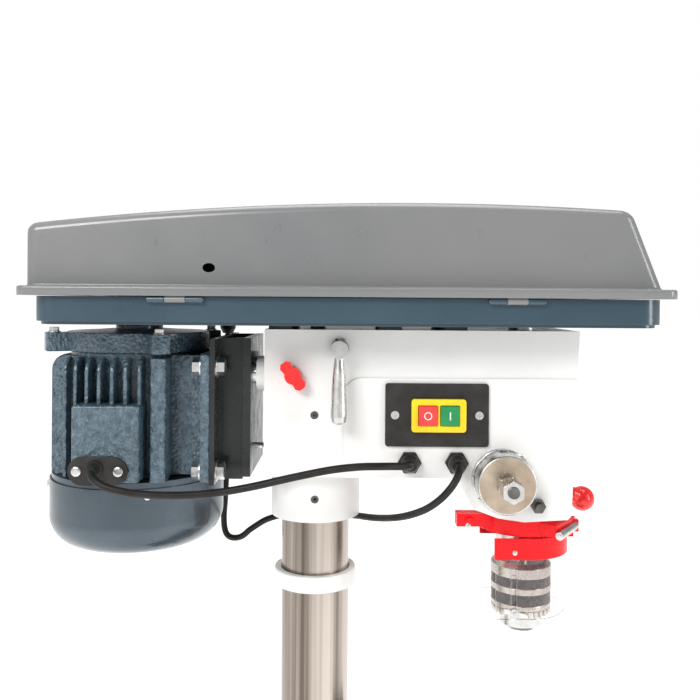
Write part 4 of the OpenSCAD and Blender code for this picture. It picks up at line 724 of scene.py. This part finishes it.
# ---------------------------------------------------------------------------------------------------
# Fan cover. A deep cup spun from sheet steel, smooth satin blue-grey, pushed over the back of the
# motor and held by small screws; air comes in through its slotted bottom.
# ---------------------------------------------------------------------------------------------------
fan_enamel = Finish("fan_enamel", metallic=0.6, roughness=0.24, coat=0.4, coat_roughness=0.06)
fan_enamel.colour(fan_enamel.noise(16, 4), (0.055, 0.076, 0.094), (0.082, 0.108, 0.130))
fan_enamel.gloss(fan_enamel.noise(30, 4), 0.2, 0.34)
fan_enamel.bump(fan_enamel.noise(14, 2), 0.0007, 0.2)
fan_enamel.bump(fan_enamel.noise(240, 2), 0.00005, 0.4)
dress(fan_enamel, "fan_cover")
SCREW_ANGLES = (-70, 20, 110, 200)
SCREW_Z = 0.7245
cover_low, cover_high = (Vector(corner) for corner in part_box("fan_cover"))
cover_r = (cover_high.y - cover_low.y) / 2
bm = bmesh.new()
for angle in SCREW_ANGLES:
    way = Vector((math.cos(math.radians(angle)), math.sin(math.radians(angle)), 0))
    seat = Vector((axis_x, 0, SCREW_Z)) + way * cover_r
    round_bar(bm, seat - way * 0.001, seat + way * 0.0012, 0.0038, 0.0036)
    round_bar(bm, seat + way * 0.0012, seat + way * 0.0021, 0.0036, 0.0020)
crisp(placed("fan_cover_screws", bm, "motor", zinc_plate, smooth=True), 0.0003)

# ---------------------------------------------------------------------------------------------------
# Running gear. Turned rotor shaft, moulded fan, die-cast step pulleys turned in the grooves, an idler
# on its swinging arm, ground bearings and two plain black V-belts.
# ---------------------------------------------------------------------------------------------------
turned_alloy = Finish("turned_alloy", metallic=1.0, roughness=0.3)
turned_alloy.colour(turned_alloy.noise(60, 4), (0.58, 0.59, 0.60), (0.78, 0.785, 0.79))
turned_alloy.gloss(turned_alloy.noise(200, 3, stretch=(1, 1, 6)), 0.22, 0.42)
turned_alloy.bump(turned_alloy.noise(300, 2, stretch=(1, 1, 8)), 0.00004, 0.5)
dress(bright_steel, "motor_rotor", "head_bearings", "quill_bearings")
dress(black_moulding, "cooling_fan")
dress(turned_alloy, "motor_pulley", "idler_pulley", "spindle_pulley")
dress(oiled_steel, "idler_arm")
dress(black_rubber, "motor_belt", "spindle_belt")

# ---------------------------------------------------------------------------------------------------
# Quill and spindle. A hardened steel sleeve that the feed pinion drives down, with the spindle turning
# in bearings inside it; both are ground bright.
# ---------------------------------------------------------------------------------------------------
dress(bright_steel, "quill", "spindle")

# ---------------------------------------------------------------------------------------------------
# Chuck guard. A red clamp round the quill with a lug at each end, a red band hinged on it, and a clear
# polycarbonate shield that slides on a strap and is set by a plated wing nut.
# ---------------------------------------------------------------------------------------------------
red_enamel = Finish("red_enamel", roughness=0.3)
red_enamel.shader.inputs["Specular IOR Level"].default_value = 0.25
red_enamel.colour(red_enamel.noise(24, 3), (0.80, 0.004, 0.008), (0.92, 0.008, 0.014))
red_enamel.gloss(red_enamel.noise(60), 0.2, 0.33)
red_enamel.bump(red_enamel.noise(170, 2), 0.00012, 0.3)
coated("guard_clamp", 0.0010, red_enamel)
GUARD_WALL_Y = -0.0471
CLAMP_WALL_Y = -0.0462
STRAP_X = 0.200
STRAP_SCREW_Z = 0.6025
strap_space = ((STRAP_X - 0.005, -0.0421, 0.590), (STRAP_X + 0.005, -0.0400, 0.680))
screw_space = ((STRAP_X - 0.005, -0.0520, 0.595), (STRAP_X + 0.005, -0.0410, 0.610))
coated("guard_band", 0.0007, red_enamel, without=(strap_space, screw_space))

bm = bmesh.new()
round_bar(bm, (STRAP_X, -0.0505, STRAP_SCREW_Z), (STRAP_X, -0.0405, STRAP_SCREW_Z), 0.0018)
for x, z, wall in ((STRAP_X, 0.662, GUARD_WALL_Y), (0.1535, 0.6885, CLAMP_WALL_Y)):
    round_bar(bm, (x, wall + 0.001, z), (x, wall - 0.0009, z), 0.0027, 0.0023)
    round_bar(bm, (x, wall - 0.0009, z), (x, wall - 0.0014, z), 0.0023, 0.0012)
crisp(placed("guard_screws", bm, "guard", zinc_plate, smooth=True), 0.0002)

LUG_Z = 0.6790
CLAMP_LUG_H = 0.013
CLAMP_LUG = [(0.224, -0.0425), (0.239, -0.0555), (0.268, -0.0180), (0.2575, -0.0165)]
SPACER_Z = LUG_Z + 0.0035
bm = bmesh.new()
plate = bm.faces.new([bm.verts.new((x, y, LUG_Z)) for x, y in CLAMP_LUG])
up = new_verts(bmesh.ops.extrude_face_region(bm, geom=[plate]))
bmesh.ops.translate(bm, vec=(0, 0, CLAMP_LUG_H), verts=up)
bmesh.ops.recalc_face_normals(bm, faces=bm.faces)
crisp(placed("clamp_lug", bm, "quill", red_enamel, smooth=True), 0.0012)
bm = bmesh.new()
round_bar(bm, (0.2405, -0.0600, SPACER_Z), (0.2675, -0.0200, SPACER_Z), 0.0040)
round_bar(bm, (0.2400, -0.0608, SPACER_Z), (0.2405, -0.0600, SPACER_Z), 0.0022)
crisp(placed("clamp_spacer", bm, "quill", zinc_plate, smooth=True), 0.0005)

bm = bmesh.new()
round_bar(bm, (0.266, -0.0134, 0.681), (0.266, 0.0134, 0.681), 0.0046)
crisp(placed("guard_hinge_roller", bm, "guard", zinc_plate, smooth=True), 0.0005)

clear_sheet = Finish("clear_sheet", roughness=0.05)
clear_sheet.shader.inputs["Transmission Weight"].default_value = 1.0
clear_sheet.shader.inputs["IOR"].default_value = 1.42
clear_sheet.colour(clear_sheet.noise(20), (0.93, 0.90, 0.90), (0.98, 0.96, 0.96))
clear_sheet.gloss(clear_sheet.noise(40, 4), 0.02, 0.09)
clear_sheet.bump(clear_sheet.noise(12, 2), 0.0003, 0.2)
coated("guard_shield", 0.0003, clear_sheet)
bm = bmesh.new()
bmesh.ops.create_cube(bm, size=1)
bmesh.ops.scale(bm, vec=(0.007, 0.0014, 0.0765), verts=bm.verts)
bmesh.ops.translate(bm, vec=(STRAP_X, -0.0412, 0.63675), verts=bm.verts)
crisp(placed("guard_strap", bm, "guard", clear_sheet, smooth=True))
coated("guard_wing_nut", 0.0006, zinc_plate)

# ---------------------------------------------------------------------------------------------------
# Chuck. A key-type drill chuck turned from steel, its sleeve in bright lands with two dark knurled
# bands between them and a ring of bevel teeth for the key; three dark jaws slide inside.
# ---------------------------------------------------------------------------------------------------
dress(oiled_steel, "chuck_jaw_1", "chuck_jaw_2", "chuck_jaw_3")
dress(bright_steel, "chuck_body")

sleeve_low, sleeve_high = (Vector(corner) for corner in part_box("chuck_sleeve"))
chuck_x = (sleeve_low.x + sleeve_high.x) / 2
sleeve_r = (sleeve_high.x - sleeve_low.x) / 2
KNURLED = ((0.0123, 0.0233), (0.030, 0.0395))
TOOTH_H = 0.007
KNURL_DEPTH = 0.0005
sleeve_len = sleeve_high.z - sleeve_low.z
bore_r = sleeve_r - 0.0045

outline = [(bore_r, sleeve_len - 0.001), (bore_r, TOOTH_H), (sleeve_r - 0.0006, TOOTH_H),
           (sleeve_r, TOOTH_H + 0.0005)]
for start, end in KNURLED:
    outline += [(sleeve_r, start - 0.0004), (sleeve_r - KNURL_DEPTH, start), (sleeve_r - KNURL_DEPTH, end),
                (sleeve_r, end + 0.0004)]
outline += [(sleeve_r, sleeve_len - 0.0045), (sleeve_r - 0.0006, sleeve_len - 0.0038),
            (sleeve_r - 0.0045, sleeve_len), (bore_r, sleeve_len - 0.001)]
bm = bmesh.new()
corners = [bm.verts.new((chuck_x + r, 0, sleeve_low.z + z)) for r, z in outline]
profile = [bm.edges.new(pair) for pair in zip(corners, corners[1:])]
bmesh.ops.spin(bm, geom=corners + profile, cent=(chuck_x, 0, 0), axis=(0, 0, 1), angle=math.tau, steps=120,
               use_merge=True, use_duplicate=False)
bmesh.ops.remove_doubles(bm, verts=bm.verts, dist=1e-6)
bmesh.ops.recalc_face_normals(bm, faces=bm.faces)
TEETH = 30
for i in range(TEETH):
    tooth = bmesh.ops.create_cube(bm, size=1)["verts"]
    bmesh.ops.scale(bm, vec=(0.0042, 0.0040, TOOTH_H), verts=tooth)
    foot = [v for v in tooth if v.co.z < 0]
    bmesh.ops.scale(bm, vec=(1, 0.45, 1), verts=foot)
    bmesh.ops.translate(bm, vec=(-0.0006, 0, 0), verts=[v for v in foot if v.co.x > 0])
    bmesh.ops.translate(bm, vec=(sleeve_r - 0.0022, 0, TOOTH_H / 2), verts=tooth)
    bmesh.ops.rotate(bm, cent=(0, 0, 0), matrix=Matrix.Rotation(math.tau * i / TEETH, 3, "Z"), verts=tooth)
    bmesh.ops.translate(bm, vec=(chuck_x, 0, sleeve_low.z), verts=tooth)

sleeve_steel = Finish("sleeve_steel", metallic=1.0, roughness=0.22)
tree = sleeve_steel.tree
centred = tree.nodes.new("ShaderNodeMapping")
centred.inputs["Location"].default_value = (-chuck_x, 0, -sleeve_low.z)
axes = tree.nodes.new("ShaderNodeSeparateXYZ")
tree.links.new(sleeve_steel.coords.outputs["Object"], centred.inputs["Vector"])
tree.links.new(centred.outputs["Vector"], axes.inputs[0])


def knurl_maths(kind, first, second):
    """One step of the arithmetic that lays the diamond knurl round the sleeve."""
    node = tree.nodes.new("ShaderNodeMath")
    node.operation = kind
    for socket, value in zip(node.inputs, (first, second)):
        if isinstance(value, (int, float)):
            socket.default_value = value
        else:
            tree.links.new(value, socket)
    return node.outputs[0]


KNURL_LINES = 70
turn = knurl_maths("MULTIPLY", knurl_maths("ARCTAN2", axes.outputs["Y"], axes.outputs["X"]), KNURL_LINES)
climb = knurl_maths("MULTIPLY", axes.outputs["Z"], KNURL_LINES / sleeve_r)
ridges = knurl_maths("MULTIPLY", knurl_maths("SINE", knurl_maths("ADD", turn, climb), 0),
                  knurl_maths("SINE", knurl_maths("SUBTRACT", turn, climb), 0))
bands = 0
for start, end in KNURLED:
    middle_z, half = (start + end) / 2, (end - start) / 2
    away = knurl_maths("ABSOLUTE", knurl_maths("SUBTRACT", axes.outputs["Z"], middle_z), 0)
    bands = knurl_maths("ADD", bands, knurl_maths("LESS_THAN", away, half))
sleeve_steel.colour(bands, (0.50, 0.47, 0.43), (0.085, 0.075, 0.068), 0.4, 0.6)
sleeve_steel.gloss(sleeve_steel.noise(180, 3), 0.16, 0.34)
sleeve_steel.bump(knurl_maths("MULTIPLY", ridges, bands), 0.00025, 0.8)
sleeve = crisp(placed("key_sleeve", bm, "chuck_sleeve", sleeve_steel, smooth=True), 0.0003)
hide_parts("chuck_sleeve")

# ---------------------------------------------------------------------------------------------------
# Down-feed. A turned cross shaft with a hub on its far end, and two plated arms screwed into the hub,
# each ending in a red plastic ball.
# ---------------------------------------------------------------------------------------------------
dress(bright_steel, "feed_shaft")
BALL_R = 0.015
HUB_R = 0.0245
HUB_LEN = 0.042
ARM_R = 0.0060
low, high = (Vector(corner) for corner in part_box("feed_arms"))
hub = (low + high) / 2
hub_near, hub_far = low.y, low.y + HUB_LEN
out_y = high.y - BALL_R
balls = [Vector((high.x - BALL_R, out_y, low.z + BALL_R)), Vector((low.x + BALL_R, out_y, high.z - BALL_R))]
bm = bmesh.new()
round_bar(bm, (hub.x, hub_near, hub.z), (hub.x, hub_far - 0.006, hub.z), HUB_R, sides=64)
round_bar(bm, (hub.x, hub_far - 0.006, hub.z), (hub.x, hub_far, hub.z), HUB_R, HUB_R - 0.004, sides=64)
root = Vector((hub.x, hub_near + 0.026, hub.z))
for ball in balls:
    way = (ball - root).normalized()
    round_bar(bm, root + way * 0.020, ball - way * 0.010, ARM_R)
hub_piece = crisp(placed("feed_hub", bm, "feed", zinc_plate, smooth=True), 0.0006)
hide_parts("feed_arms")

bm = bmesh.new()
for ball in balls:
    way = (ball - root).normalized()
    place = Matrix.Translation(ball) @ way.to_track_quat("Z", "Y").to_matrix().to_4x4()
    bmesh.ops.create_uvsphere(bm, u_segments=48, v_segments=32, radius=BALL_R, matrix=place)
    round_bar(bm, ball - way * 0.0205, ball - way * 0.011, 0.0078, 0.0098, sides=40)
crisp(placed("feed_balls", bm, "feed", red_moulding, smooth=True), 0.0008)

# ---------------------------------------------------------------------------------------------------
# Table. A ground iron face on an enamelled bracket that climbs the rack by a crank and gear, with a
# plated lock handle and a bolt through the pivot for tilting.
# ---------------------------------------------------------------------------------------------------
ground_iron = Finish("ground_iron", metallic=0.9, roughness=0.42)
ground_iron.colour(ground_iron.noise(34, 6), (0.24, 0.245, 0.25), (0.40, 0.405, 0.41))
ground_iron.gloss(ground_iron.noise(90, 4, stretch=(0.4, 5, 1)), 0.3, 0.52)
ground_iron.bump(ground_iron.noise(240, 3, stretch=(0.25, 6, 1)), 0.00004, 0.7)
coated("table", 0.0016, ground_iron)
coated("table_bracket", 0.0018, grey_enamel)
dress(zinc_plate, "bracket_lock", "tilt_bolt")
dress(oiled_steel, "lift_gear", "table_crank")

# ---------------------------------------------------------------------------------------------------
# Lid. A long bonnet pressed from sheet steel in light grey enamel, crowned along its top and sloped at
# the front, with a slotted hole in its side and a flange all round that rests on the pan's rim.
# ---------------------------------------------------------------------------------------------------
low, high = (Vector(corner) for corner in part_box("lid"))
LIP_H = 0.0084
SHEET = 0.0014
CROWN = 0.021
CROWN_SPAN = 0.3558
CORNER_R = 0.011
TOP_R = 0.0085
FOLD_R = 0.0032
flange_z = low.z + LIP_H
wall_x = (low.x + 0.004, high.x - 0.009)
wall_y = high.y - 0.015
crown_x = (low.x + high.x) / 2 + 0.0649
front_top = high.x - 0.037


def crown_z(x):
    return high.z - CROWN * ((x - crown_x) / CROWN_SPAN) ** 2


bm = bmesh.new()
side = [(wall_x[0], flange_z)]
for i in range(25):
    x = wall_x[0] + (front_top - wall_x[0]) * i / 24
    side.append((x, crown_z(x)))
side += [(wall_x[1], flange_z)]
near_side = bm.faces.new([bm.verts.new((x, -wall_y, z)) for x, z in side])
across = new_verts(bmesh.ops.extrude_face_region(bm, geom=[near_side]))
bmesh.ops.translate(bm, vec=(0, 2 * wall_y, 0), verts=across)
bmesh.ops.recalc_face_normals(bm, faces=bm.faces)
open_bottom = [f for f in bm.faces if all(abs(v.co.z - flange_z) < 1e-6 for v in f.verts)]
bmesh.ops.delete(bm, geom=open_bottom, context="FACES")
upright = [e for e in bm.edges if abs(e.verts[0].co.y - e.verts[1].co.y) < 1e-6
           and min(v.co.z for v in e.verts) < flange_z + 1e-5 and not e.is_boundary]
bmesh.ops.bevel(bm, geom=upright, offset=CORNER_R, offset_type="OFFSET", segments=6, profile=0.5,
                affect="EDGES", material=-1, clamp_overlap=True)
bm.normal_update()
top_edges = [e for e in bm.edges if not e.is_boundary and e.calc_face_angle(0) > math.radians(35)
             and min(v.co.z for v in e.verts) > flange_z + 0.03]
bmesh.ops.bevel(bm, geom=top_edges, offset=TOP_R, offset_type="OFFSET", segments=5, profile=0.5,
                affect="EDGES", material=-1, clamp_overlap=True)


def skirt(bm, grow, drop):
    """Runs the lid's open edge out to a new outline and down."""
    rim = [e for e in bm.edges if e.is_boundary]
    for v in new_verts(bmesh.ops.extrude_edge_only(bm, edges=rim)):
        grow(v.co)
        v.co.z -= drop


def to_flange(co):
    share = (co.x - wall_x[0]) / (wall_x[1] - wall_x[0])
    co.x = low.x + share * (high.x - low.x)
    co.y *= high.y / wall_y


skirt(bm, to_flange, 0)
skirt(bm, lambda co: None, LIP_H)
bm.normal_update()
folds = [e for e in bm.edges if not e.is_boundary and all(abs(v.co.z - flange_z) < 1e-5 for v in e.verts)
         and e.calc_face_angle(0) > math.radians(40)]
bmesh.ops.bevel(bm, geom=folds, offset=FOLD_R, offset_type="OFFSET", segments=4, profile=0.5,
                affect="EDGES", material=-1, clamp_overlap=True)
HOLE_X, HOLE_Z, HOLE_R = -0.0925, 0.9402, 0.0042
HOLE_STRETCH = 1.36
near_wall = max((f for f in bm.faces if all(abs(v.co.y + wall_y) < 1e-6 for v in f.verts)),
                key=lambda f: f.calc_area())
outline = list(near_wall.edges)
upright_ring = Matrix.Translation((HOLE_X, -wall_y, HOLE_Z)) @ Matrix.Rotation(math.pi / 2, 4, "X")
hole = bmesh.ops.create_circle(bm, cap_ends=False, segments=32, radius=HOLE_R, matrix=upright_ring)["verts"]
bmesh.ops.scale(bm, vec=(HOLE_STRETCH, 1, 1), space=Matrix.Translation((-HOLE_X, 0, 0)), verts=hole)
hole_edges = [e for e in bm.edges if e.verts[0] in hole]
bmesh.ops.delete(bm, geom=[near_wall], context="FACES_ONLY")
bmesh.ops.triangle_fill(bm, edges=outline + hole_edges, use_beauty=True, normal=(0, -1, 0))
bmesh.ops.remove_doubles(bm, verts=bm.verts, dist=1e-6)
bmesh.ops.recalc_face_normals(bm, faces=bm.faces)
lid_enamel = Finish("lid_enamel", roughness=0.3, coat=0.35, coat_roughness=0.14)
lid_enamel.colour(lid_enamel.noise(3, 3), (0.150, 0.154, 0.160), (0.205, 0.206, 0.205))
lid_enamel.gloss(lid_enamel.noise(26, 4), 0.26, 0.38)
lid_enamel.bump(lid_enamel.noise(170, 2), 0.00012, 0.4)
shell = placed("lid_pressing", bm, "lid", lid_enamel, smooth=True)
wall = shell.modifiers.new("sheet_thickness", "SOLIDIFY")
wall.thickness = SHEET
wall.offset = -1
shading = shell.modifiers.new("flat_faces_flat", "WEIGHTED_NORMAL")
shading.keep_sharp = False
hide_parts("lid")
dress(lid_enamel, "lid_hinges")
